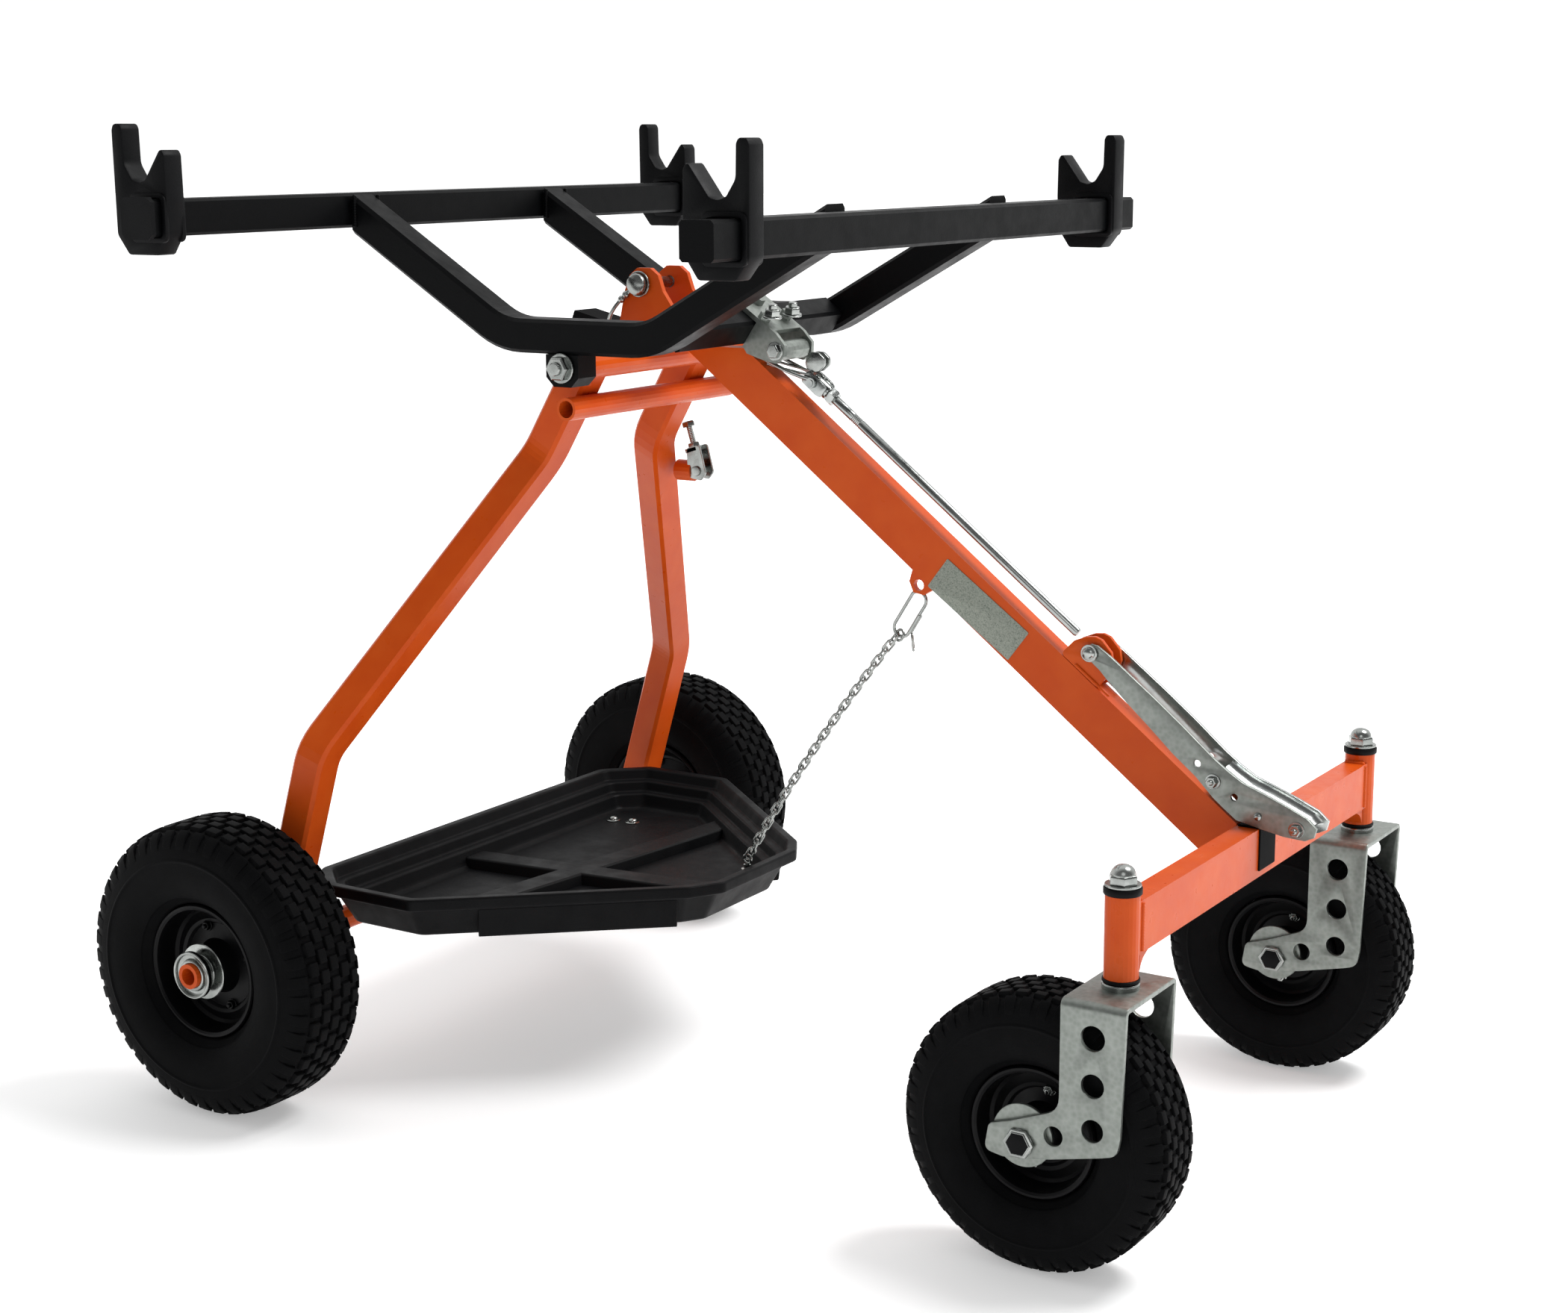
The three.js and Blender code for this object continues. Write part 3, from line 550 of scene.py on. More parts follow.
def tyre(node, body, cx, cy, R, W, bead, count):
    h, w = R - bead, W / 2
    prof = [(bead + h * a, -w * b) for a, b in SIDE] + [(bead + h * 0.957, 0)]
    prof += [(bead + h * a, w * b) for a, b in reversed(SIDE)]
    s = Solid()
    m = frame_at((cx, cy, R), Y)
    s.lathe(prof, 120, m, closed=True)

    def radius(y):
        q = abs(y) / w
        for (a, ra), (b, rb) in zip(CROWN, CROWN[1:]):
            if a <= q <= b:
                return bead + h * (ra + (rb - ra) * (q - a) / (b - a))
        return bead + h * 0.66

    def polar(r, t, y):
        return (r * math.cos(t), r * math.sin(t), y)

    step = 2 * math.pi / count
    rnd = random.Random(4)
    for y0, y1, phase, fill in TREAD:
        shoulder = max(abs(y0), abs(y1)) > 0.9
        tall, cuts = (2.2, 4) if shoulder else (3.2, 2)
        for i in range(count):
            a = (i + phase) * step
            half = step * fill * 0.5 * (1 + rnd.uniform(-0.04, 0.04))
            base, top = [], []
            for k in range(cuts):
                q = y0 + (y1 - y0) * k / (cuts - 1)
                taper = 0.8 / w * (1 if k == 0 else -1 if k == cuts - 1 else 0)
                rb = radius(q * w) - SUNK
                rt = min(radius(q * w) + tall, R - 0.05)
                for sgn in (-1, 1):
                    base.append((rb, a + sgn * half, q * w))
                    top.append((rt, a + sgn * half * 0.88, (q + taper) * w))
            n = len(base)
            f = [[0, 1, n + 1, n], [n - 2, n - 1, 2 * n - 1, 2 * n - 2][::-1]]
            for b in range(0, 2 * (cuts - 1), 2):
                f += [[b, b + 1, b + 3, b + 2], [n + b, n + b + 2, n + b + 3, n + b + 1]]
                f += [[b, n + b, n + b + 2, b + 2], [b + 1, b + 3, n + b + 3, n + b + 1]]
            s.add([polar(*p) for p in base + top], f, m)
    s.make(node + "_tread", "tyre_rubber", body, (node,), bevel=0.7, seg=1, smooth=30)


def rim(node, body, cx, cy, R, W, bead, bore, r_bolt, phase, finish="zinc_plate"):
    """Dished rim with four bolts on the circle r_bolt."""
    w, lip = (W / 2) * 0.62, bead - 0.7
    half = [(bore, w * 0.86), (bore + 1, w * 0.9), (bore + 9, w * 0.9), (bore + 10.5, w * 0.8),
            (bore + 11.2, w * 0.45), (bore + 13, w * 0.3), (lip - 22, w * 0.22),
            (lip - 20, w * 0.32), (lip - 17, w * 0.36), (lip - 14, w * 0.30), (lip - 10, w * 0.26),
            (lip - 7.5, w * 0.36), (lip - 6.3, w * 0.6), (lip - 5.8, w * 0.92),
            (lip - 4.6, w + 1.6), (lip - 2.8, w + 2.8), (lip - 1, w + 2.6), (lip, w + 1.2),
            (lip, w * 0.9)]
    s = Solid()
    prof = [(r, -y) for r, y in half] + [(r, y) for r, y in reversed(half)]
    s.lathe(prof, 72, frame_at((cx, cy, R), Y), closed=True)
    s.make(node + "_dish", "black_rim", body, (node,), smooth=28)
    b = Solid()
    for i in range(4):
        a = phase + 2 * math.pi * i / 4
        x, z = cx + r_bolt * math.cos(a), R + r_bolt * math.sin(a)
        for sgn in (-1, 1):
            q = frame_at((x, cy + sgn * w * 0.24, z), (0, sgn, 0))
            b.disc(5.2, 4.4, 0, 0.9, 1.1, 20, q)
            b.hexa(4.2, 1.0, 4.2, q)
            if sgn < 0:
                b.disc(2.1, 1.6, 4, 5.8, 6.4, 14, q)
    b.make(node + "_bolts", finish, body, bevel=0.25, seg=1)


# Zinc hub: wide inner disc, ribbed neck, cupped outer disc
HUB = [(11.4, 0), (21, 0), (24.4, 1.2), (24.8, 2.0), (24.2, 2.8), (21, 3.3), (15.5, 3.8), (14.6, 5),
       (14.6, 5.6), (15.8, 6.1), (15.8, 6.9), (14.6, 7.4), (14.6, 8.2), (15.8, 8.7), (15.8, 9.5),
       (14.9, 10), (16, 10.6), (19.8, 11.1), (20.8, 12), (20.8, 15.6), (20.2, 16.3), (19.2, 16.3),
       (18.6, 15.8), (18.2, 13.2), (17, 12.6), (14.6, 12.6), (14, 13.2), (13.6, 15.2), (13, 15.6),
       (11.4, 15.6)]
HUB_Y = 366.6           # where the hub flange starts

for tag, sg in NEARFAR:
    at = (CASTOR_X, sg * CASTOR_Y, CASTOR_R, CASTOR_W, CASTOR_BEAD)
    tyre("castor_tyre_" + tag, "castor_wheel_" + tag, *at, 46)
    rim("castor_rim_" + tag, "castor_wheel_" + tag, *at, 6.6, 30, math.radians(80))
    at = (0, sg * REAR_Y, REAR_R, REAR_W, REAR_BEAD)
    tyre("rear_tyre_" + tag, "rear_wheel_" + tag, *at, 45)
    rim("rear_rim_" + tag, "rear_wheel_" + tag, *at, 11.5, 36, math.radians(20), "black_rim")
    hub = Solid()
    hub.lathe(HUB, 64, frame_at((0, sg * HUB_Y, REAR_R), (0, sg, 0)), closed=True)
    hub.make("hub_flange_" + tag, "zinc_plate", "rear_wheel_" + tag, ("hub_collar_" + tag,),
             smooth=40)


# ---- castor forks
# One leg's outline (x, z), its corner radii, and its holes (x, z, radius)
FORK = [(832, 226), (829, 128), (826.5, 114.5), (815, 111), (774, 101), (752, 97), (735, 95),
        (719.5, 97.5), (723, 119), (741, 124.5), (780, 140), (780, 226)]
FORK_R = [0, 8, 10, 3, 3, 10, 10, 6.5, 6, 10, 15, 0]
FORK_HOLES = [(806, 200, 9.5), (806.5, 164, 9), (807, 130, 8.5), (776, 119.5, 7.5), (749, 109, 6.6)]
FORK_UNROLLED = 264.28              # height of the middle line with both legs laid flat
FORK_FLAT, FORK_ARC = 38, 6.283     # half of the flat top, length of each bend
FORK_BEND, FORK_SIDE = 4, 220       # radius of the bend, height of the straight sides
FORK_CUTS = 8                       # steps in each bend
WASHER_Y = 44.2                     # outer face of the fork, where the axle's washers sit


def fork_plate(tag, y0):
    """Flat plate with both legs, bent over the tyre, with a disc behind each leg."""
    leg = [(x, FORK_UNROLLED - z) for x, z in fillet(FORK, FORK_R)]
    outline = leg + [(x, -v) for x, v in reversed(leg)]
    holes = [circle(x, k * (FORK_UNROLLED - z), r) for k in (1, -1) for x, z, r in FORK_HOLES]
    verts, faces = plate_mesh(outline, holes, 4, Matrix.Identity(4), bevel=0.7)
    bm = bmesh.new()
    vs = [bm.verts.new(v) for v in verts]
    for f in faces:
        try:
            bm.faces.new([vs[i] for i in f])
        except ValueError:
            pass
    for sgn in (-1, 1):
        for k in range(FORK_CUTS + 1):
            at = (0, sgn * (FORK_FLAT + FORK_ARC * k / FORK_CUTS), 0)
            geom = bm.verts[:] + bm.edges[:] + bm.faces[:]
            bmesh.ops.bisect_plane(bm, geom=geom, plane_co=at, plane_no=Y)
    s = Solid()
    bm.verts.index_update()
    out = []
    for v in bm.verts:
        x, q, w = v.co
        k = -1 if q < 0 else 1
        q = abs(q)
        if q <= FORK_FLAT:
            dy, z = q, FORK_SIDE + FORK_BEND + w
        elif q <= FORK_FLAT + FORK_ARC:
            a = (q - FORK_FLAT) / FORK_BEND
            dy = FORK_FLAT + (FORK_BEND + w) * math.sin(a)
            z = FORK_SIDE + (FORK_BEND + w) * math.cos(a)
        else:
            dy, z = FORK_FLAT + FORK_BEND + w, FORK_SIDE - (q - FORK_FLAT - FORK_ARC)
        out.append((x, y0 + k * dy, z))
    s.add(out, [[v.index for v in f.verts] for f in bm.faces])
    bm.free()
    for k in (-1, 1):
        q = frame_at((CASTOR_X, y0 + k * 36.6, 113), (0, k, 0))
        disc = [(6.8, 0), (23.4, 0), (24.4, 0.8), (24.4, 2.9), (24, 3.3), (6.8, 3.3)]
        s.lathe(disc, 56, q, closed=True)
    s.make("castor_fork_plate_" + tag, "galvanised_steel", "castor_" + tag,
           ("castor_fork_" + tag,), smooth=30)


def steering(tag, y0):
    """Steering collar, kingpin, dome nut and the two bushes of the steering tube."""
    up = frame_at((STEER_X, y0, 0), Z)
    c = Solid()
    c.lathe([(0, 225.2), (13.6, 225.2), (14.1, 226), (14.1, 229.6), (13.4, 230.6), (8, 230.9),
             (7.9, 302), (0, 302)], 48, up)
    c.lathe([(7.6, 302.9), (13.2, 302.9), (13.6, 303.3), (13.6, 304.5), (13.1, 304.9),
             (7.6, 304.9)], 40, up, closed=True)
    c.hexa(11.2, 304.9, 311.6, up, cham=0.08)
    c.lathe([(0, 311), (9.2, 311), (9.1, 312.6), (8.3, 315), (6.6, 317), (4.2, 318.3),
             (1.8, 318.8), (0, 318.85)], 40, up)
    c.make("kingpin_" + tag, "zinc_plate", "castor_" + tag, bevel=0.3, seg=2, smooth=34)
    b = Solid()
    b.lathe([(8.6, 231.3), (13.6, 231.3), (14, 231.7), (14, 233.4), (13.6, 233.8), (8.6, 233.8)],
            40, up, closed=True)
    b.make("lower_bush_" + tag, "black_plastic", "frame", smooth=40)
    b = Solid()
    b.lathe([(8.6, 297.2), (13.9, 297.2), (14.3, 297.7), (14.3, 301.9), (13.8, 302.5),
             (8.6, 302.6)], 40, up, closed=True)
    b.make("top_bush_" + tag, "black_plastic", "frame", ("upper_bush_" + tag,), smooth=40)


def castor_axle(tag, y0):
    """Hollow-ended bolt with washers, spacers and lock nut, and a thin black disc of painted shade
    in its hollow end.
    """
    a = Solid()
    for k in (-1, 1):
        q = frame_at((CASTOR_X, y0 + k * WASHER_Y, CASTOR_R), (0, k, 0))
        a.lathe([(5, 0), (10.6, 0), (11.0, 0.4), (11.0, 1.0), (10.6, 1.3), (5, 1.3)],
                40, q, closed=True)
        if k < 0:
            a.hexa(12.2, 0.4, 3.4, q, cham=0.1)
            a.lathe([(0, 3.2), (9.9, 3.2), (10.1, 3.9), (9.9, 4.3), (9.3, 4.4), (9.0, 3.8),
                     (0, 3.6)], 6, q)
        else:
            a.hexa(10.2, 1.8, 8.4, q)
            a.disc(5.8, 5.1, 8, 9.2, 9.8, 24, q)
        a.lathe([(6.9, -24), (8.6, -24), (8.6, -8), (6.9, -8)], 24, q, closed=True)
    a.bar(5.9, -44, 44, 24, frame_at((CASTOR_X, y0, CASTOR_R), Y))
    a.make("castor_axle_" + tag, "zinc_plate", "castor_" + tag, ("castor_bolt_" + tag,),
           bevel=0.25, seg=2, smooth=34)
    # The thin black disc in the near bolt's hollow end is painted shade.
    d = Solid()
    d.disc(9.1, 8.6, 3.5, 3.9, 4.1, 6, frame_at((CASTOR_X, y0 - WASHER_Y, CASTOR_R), (0, -1, 0)))
    d.make("castor_axle_shade_disc_" + tag, "black_plastic", "castor_" + tag, smooth=34)


for tag, sg in NEARFAR:
    fork_plate(tag, sg * CASTOR_Y)
    steering(tag, sg * CASTOR_Y)
    castor_axle(tag, sg * CASTOR_Y)


# ---- cradle hooks
# Rear hook's outline about its middle and its corner radii; the short prong is at +x
HOOK = [(-29, 70), (-27, 75), (-19, 75), (-17, 71), (-16.4, 43), (-8, 30.5), (-1, 28), (6, 30),
        (22, 51.5), (24, 54), (27, 54), (29.4, 50), (30, 16), (28, -14), (17, -30), (-16, -30),
        (-28.5, -14)]
HOOK_R = [5, 4, 4, 5, 12, 6, 8, 6, 6, 3, 3, 5, 14, 8, 4, 4, 8]
HOOK_TOP = 75           # height of the long prong above the bar's middle
HOOK_BORE = 15.4        # half of the square hole for the bar
HOOK_COLLAR = 20        # half of the raised collar round it


def hook(tag, where, cx, cz, y_mid, dx, top, flip):
    """Moulded V hook round the bar at (cx, cz), shifted by dx; flip turns the front ones."""
    side = -1 if flip else 1
    pts = [(cx + side * (u + dx), cz + (w if w < 60 else w + top - HOOK_TOP)) for u, w in HOOK]
    rad = list(HOOK_R)
    if flip:
        pts, rad = pts[::-1], rad[::-1]
    bore = fillet(square(cx, cz, HOOK_BORE), 2.5)
    s = Solid()
    s.add(*plate_mesh(fillet(pts, rad), [bore], 20, xz(y_mid), bevel=1.5))
    for k in (-1, 1):
        collar = fillet(square(cx, cz, HOOK_COLLAR), 7)
        s.add(*plate_mesh(collar, [bore], 4.4, xz(y_mid + k * 9.2), bevel=0.9))
    s.make(f"{where}_hook_body_{tag}", "black_plastic", "cradle", (f"{where}_hook_{tag}",),
           smooth=30)


for tag, sg in NEARFAR:
    hook(tag, "rear", -5, 771, sg * 367, -9, 75, False)
    hook(tag, "front", 514, 760, sg * 306, 7, 72, True)


# ---- tray
# Outline of the tray's edge, and its section as (inset from the edge, height)
TRAY_EDGE = [(-4, -213), (36, -250), (132, -250), (318, -90), (336, -60), (336, 60), (318, 90),
             (132, 250), (36, 250), (-4, 213)]
TRAY_SECTION = [(31, 141.8), (28, 142.2), (26, 143.8), (24.4, 147), (11.4, 169.6), (9.8, 171.2),
                (7.6, 171.9), (1.6, 172.2), (0.2, 173.2), (0, 175), (0, 181.2), (0.5, 182.5),
                (1.8, 183), (7.6, 183), (9.2, 182.5), (10.2, 181), (12.6, 174.2), (13.8, 172.8),
                (18.6, 172.2), (20, 171.2), (22.2, 163.6), (23.4, 162.2), (28.4, 161.6),
                (29.8, 160.4), (32.4, 151.6), (34, 148.4), (37, 146.4), (41, 145.7)]
TRAY_RIB_Z = 145        # height the ribs stand on
RIB_TOP, RIB_FOOT = 25, 34          # widths of a rib
# Skirt under the slanted walls: section as (inset, height), from and to along the wall
SKIRT = [(31, 141.9), (16.4, 141.9), (15.2, 143.2), (12, 168.4), (19, 168.4), (22, 160.5),
         (29.5, 157)]
SKIRT_ENDS = (60, 236)


def inset(pts, d):
    """The outline moved inwards by d."""
    out = []
    n = len(pts)
    for i in range(n):
        p, a, b = Vector(pts[i]), Vector(pts[i - 1]), Vector(pts[(i + 1) % n])
        e1, e2 = (p - a).normalized(), (b - p).normalized()
        n1, n2 = Vector((-e1.y, e1.x)), Vector((-e2.y, e2.x))
        k = n1 + n2
        k = k / max(k.dot(n1), 1e-6)
        out.append(tuple(p + k * d))
    return out


def tray():
    s = Solid()
    verts, faces = [], []
    for d, z in TRAY_SECTION:
        verts += [(x, y, z) for x, y in fillet(inset(TRAY_EDGE, d), 13, n=6)]
    n = len(verts) // len(TRAY_SECTION)
    last = len(verts) - n
    for k in range(0, last, n):
        faces += ring_faces(n, k, k + n)
    faces += [list(range(n))[::-1], list(range(last, last + n))]
    s.add(verts, faces)

    def rib(a, b, h):
        a, b = Vector(a), Vector(b)
        d = (b - a).normalized()
        w = Vector((-d.y, d.x))
        half = RIB_TOP / 2
        sec = [(-RIB_FOOT / 2, -1), (-half - 1.8, h - 2), (-half - 0.6, h - 0.5), (-half + 1, h),
               (half - 1, h), (half + 0.6, h - 0.5), (half + 1.8, h - 2), (RIB_FOOT / 2, -1)]
        v = [(*(p + w * q), TRAY_RIB_Z + t) for p in (a, b) for q, t in sec]
        m = len(sec)
        f = [list(range(m)), list(range(m, 2 * m))[::-1]]
        s.add(v, f + [q[::-1] for q in ring_faces(m, 0, m)])

    rib((12, -34), (306, -2), 11)
    rib((118, -204), (172, 190), 10.9)
    corner, end = Vector(TRAY_EDGE[2]), Vector(TRAY_EDGE[3])
    e = (end - corner).normalized()
    w = Vector((-e.y, e.x))
    for sg in (-1, 1):
        v = []
        for q in SKIRT_ENDS:
            for d, z in SKIRT:
                c = corner + e * q + w * d
                v.append((c.x, -sg * c.y, z))
        n = len(SKIRT)
        f = [list(range(n)), list(range(n, 2 * n))[::-1]]
        f += [[i, i + n, (i + 1) % n + n, (i + 1) % n] for i in range(n)]
        s.add(v, f if sg < 0 else [q[::-1] for q in f])
    s.make("tray_moulding", "black_plastic", "frame", ("tray",), smooth=24, bevel=0.8, seg=2)
    b = Solid()
    for x, y in ((48, 165), (70, 168), (48, -165), (70, -168)):
        q = frame_at((x, y, 145.6), Z)
        b.disc(7.5, 6.8, 0, 1.0, 1.3, 26, q)
        b.lathe([(0, 1.2), (4.8, 1.2), (4.6, 2.6), (3.6, 3.8), (1.8, 4.4), (0, 4.5)], 22, q)
    b.make("tray_bolts", "zinc_plate", "frame", smooth=34)


tray()


# ---- tray chain and snap hook
CHAIN_TOP, CHAIN_MID, CHAIN_LOW = (477.5, 0, 411.5), (392, 0, 298), (322, 0, 189)
CHAIN_LINKS = 30
PATH_STEPS = 200
SNAP_TOP, SNAP_LOW = (501.5, 0, 449), (479, 0, 413)


def chain():
    """Links that turn by a quarter from one to the next, along a slack curve."""
    top, mid, low = Vector(CHAIN_TOP), Vector(CHAIN_MID), Vector(CHAIN_LOW)
    path = []
    for i in range(PATH_STEPS + 1):
        t = i / PATH_STEPS
        path.append(top * (1 - t) ** 2 + (mid * 2 - (top + low) / 2) * 2 * t * (1 - t)
                    + low * t * t)
    step = sum((b - a).length for a, b in zip(path, path[1:])) / CHAIN_LINKS
    s = Solid()
    pos, acc = [], 0.0
    want = step / 2
    for a, b in zip(path, path[1:]):
        seg = (b - a).length
        while acc + seg >= want and len(pos) < CHAIN_LINKS:
            pos.append((a.lerp(b, (want - acc) / seg), (b - a).normalized()))
            want += step
        acc += seg
    for i, (p, d) in enumerate(pos):
        side = Vector(Y)
        up = side.cross(d)
        n = (side + up) if i % 2 else (side - up)
        s.tube(oval(p, d, n, step + 4.3, 6.8, 16), 1.1, 6, closed=True)
    s.make("tray_chain_links", "zinc_plate", "frame", ("tray_chain",), smooth=60)


def snap_hook():
    """Carabiner with its gate, swivel eye and the chain's first long link."""
    h = Solid()
    a, b = Vector(SNAP_TOP), Vector(SNAP_LOW)
    d = (a - b).normalized()
    h.tube(oval((a + b) / 2, d, Y, (a - b).length + 3, 15.5, 28), 1.6, 8, closed=True)
    h.tube([b + d * 7 + Vector((7.4, 0, -4)), b + d * 26 + Vector((7.2, 0, -4.2))], 2.3, 10)
    h.tube(oval(b + Vector((1.0, 0, -1.5)), d, (0.5, 1, 0.3), 10, 9, 18), 1.3, 7, closed=True)
    h.tube(oval(b + Vector((13.5, 1, -6.5)), (0.12, 0, -1), (0.9, 0.4, 0), 15, 6.2, 16), 1.0, 6,
           closed=True)
    h.make("tray_snap_hook", "zinc_plate", "frame", ("snap_hook",), smooth=60)


def tray_eye():
    e = Solid()
    e.tube(circle_pts((321, 0, 187), 4.2, Y, 18), 1.2, 7, closed=True)
    e.lathe([(0, 0), (5.4, 0), (5.4, 1.2), (3.2, 1.6), (3.2, 5), (0, 5.2)], 22,
            frame_at((320.5, 0, 177), Z))
    e.make("tray_eye", "zinc_plate", "frame", smooth=40)


chain()
snap_hook()
tray_eye()


# ---- release rod and latch
ROD_A, ROD_B = Vector((413, 0, 613)), Vector((650, 0, 429.5))
RD = (ROD_B - ROD_A).normalized()
RU = Vector((-RD.z, 0, RD.x))
FORK_PIN = ROD_A + RD * -20         # middle of the pin in the rod's fork end
STAY_TOP, STAY_TILT = (333, 673), math.radians(35)


def stay(a, n):
    """Point (x, z) that lies a down the cradle's stay and n above it."""
    c, d = math.cos(STAY_TILT), math.sin(STAY_TILT)
    return STAY_TOP[0] + a * c + n * d, STAY_TOP[1] - a * d + n * c


def rod():
    s = Solid()
    m = frame_at(ROD_A, RD)
    length = (ROD_B - ROD_A).length
    thread = [(3.6 if i % 2 else 4.0, 26 + i * 0.8) for i in range(1, 12)]
    s.lathe([(0, -5), (3.6, -5), (4.0, -4.4), (4.0, 26)] + thread
            + [(4.0, 36), (4.0, length - 3), (3.4, length - 1), (0, length - 1)], 24, m)
    s.hexa(7.6, -2.6, 3.6, m)
    s.lathe([(0, -24), (5.4, -24), (6.2, -23), (6.4, -6), (5.9, -4.6), (0, -4.6)], 28, m)
    for k in (-1, 1):
        tab = fillet([(-30, -6), (-12, -6.4), (-6, -5), (-6, 5), (-12, 6.4), (-30, 6)], 3)
        pts = [(ROD_A + RD * a + RU * b) for a, b in tab]
        s.add(*plate_mesh([(p.x, p.z) for p in pts], [], 2.4, xz(k * 7.2), bevel=0.4))
    m = frame_at(FORK_PIN, Y)
    s.bar(3.0, -12.5, 12.5, 18, m)
    s.bar(4.6, 9, 11.6, 6, m)
    s.bar(4.6, -11.6, -9, 18, m)
    # The rod takes the lighter zinc copy, whose bright colour is painted highlight.
    s.make("release_rod_steel", "zinc_plate", "release_rod", ("release_rod",),
           mat=M["smooth_zinc_painted_highlight"], smooth=34)


# Half of each bail wire as (down the stay, y, above the stay), with its radius and sides
BAIL = [([(76, 9.5, -1), (70, 12, -3), (56, 13, -7.5), (34, 13, -12.5), (31, 10, -13),
          (31, 0, -13)], 1.7, 8),
        ([(74, 8.2, 2), (66, 9.5, -2), (52, 10, -8.6), (36, 10, -15.6), (33, 7, -16),
          (33, 0, -16)], 1.1, 7)]
EYE = [(402, 651), (408, 646), (408, 640), (402, 635), (395, 633.5), (390, 637), (388.4, 642),
       (390, 647.5), (395, 651.5)]


def latch():
    """Wire bail round the latch roller, teardrop eye on the fork pin, nuts."""
    b = Solid()
    for k in (-1, 1):
        for line, r, n in BAIL:
            pts = []
            for a, y, up in line:
                x, z = stay(a, up)
                pts.append((x, k * y, z))
            b.tube(pts, r, n)
    # The wire takes the lighter zinc copy, whose bright colour is painted highlight.
    b.make("latch_wire", "zinc_plate", "release_rod", ("latch_bail",), mat=M["smooth_zinc_painted_highlight"],
           smooth=60)
    e = Solid()
    for y in (-4, 4):
        hole = circle(FORK_PIN.x + 3, FORK_PIN.z + 3, 2.9, 18)
        e.add(*plate_mesh(fillet(EYE, 4), [hole], 3, xz(y), bevel=0.5))
    e.make("latch_eye", "zinc_plate", "release_rod", smooth=34)
    n = Solid()
    for k in (-1, 1):
        for x, z, lean in ((331, 679.2, -0.18), (362, 680.4, 0.18)):
            q = frame_at((x, k * 16, z), (lean, -0.12, 1))
            n.disc(8.6, 8.0, 0, 1.3, 1.7, 28, q)
            n.hexa(7.2, 1.7, 7.4, q)
            n.disc(3.8, 3.2, 7, 11, 11.8, 18, q)
    x, z = stay(42, 4)
    for k in (-1, 1):
        q = frame_at((x, k * 23.6, z), (0, k, 0))
        n.disc(8.2, 7.6, 0, 1.2, 1.5, 28, q)
        n.hexa(6.4, 1.4, 5.4, q)
    n.make("latch_fasteners", "zinc_plate", "cradle", bevel=0.25, seg=1, smooth=34)


rod()
latch()


# ---- release lever
# Upper and lower edge of the near plate; SLIM replaces the lower edge behind the bend
LEVER_TOP = [(662, 418), (663.5, 422.5), (668, 425.6), (674, 424.6), (686, 416.5), (701, 405),
             (726, 386), (751, 366), (777, 344), (790, 334.5), (803, 326.5), (822, 319.5),
             (841, 312), (857, 305), (865.5, 297.5)]
LEVER_LOW = [(863.5, 290), (856, 286.4), (838, 287.4), (819, 291), (798, 295.5), (788, 303),
             (778, 311), (762, 327), (742, 343), (722, 361.5), (701, 380), (683, 397),
             (676, 404.5), (668, 411), (663.5, 413.6)]
SLIM = [(788, 303), (776, 313), (768, 325), (761, 336), (746, 351.5), (732, 363), (716, 376),
        (700, 390), (690, 398), (676, 407), (668, 411), (663.5, 413.6)]
# Web between the plates: its line (x, z), and its section as (y, height off the line)
WEB_LINE = [(774, 346), (784, 338), (793, 331.6), (803, 325.6), (822, 318.4), (841, 310.6),
            (855.5, 304.2), (863.5, 297), (862, 291)]
WEB = [(-12, -1.2), (-10.6, -3.4), (-7, -5.6), (-1, -6.6), (4, -6.4), (8, -5.2), (10.8, -3.2),
       (12, -1.2)]
# Ears on the beam: outline as (along the beam from the pin, up from its middle)
EAR = [(-20, 0.3), (-18, 17), (-12, 27), (-6, 32.6), (0, 34.5), (13, 32), (20, 25.5), (22.5, 15),
       (22, 0.3)]
BEAM_TOP, BEAM_TILT, BEAM_HALF = (413, 562.5), math.radians(37.7), 20
EAR_AT = 289.3          # from the beam's reference point to the lever's pin


def web():
    line = fillet(WEB_LINE, 8, 3)[4:-4]
    v, k = [], len(line)
    for i, c in enumerate(line):
        d = (Vector(line[min(i + 1, k - 1)]) - Vector(line[max(i - 1, 0)])).normalized()
        for off in (0, -1.6):
            for y, n in WEB:
                n = n + off - 0.6
                v.append((c[0] - d.y * n, y, c[1] + d.x * n))
    m = 2 * len(WEB)
    o = list(range(len(WEB))) + [m - 1 - i for i in range(len(WEB))]
    f = [[a + o[j], a + o[(j + 1) % m], a + m + o[(j + 1) % m], a + m + o[j]]
         for a in range(0, (k - 1) * m, m) for j in range(m)]
    return v, f + [o[::-1], [(k - 1) * m + q for q in o]]


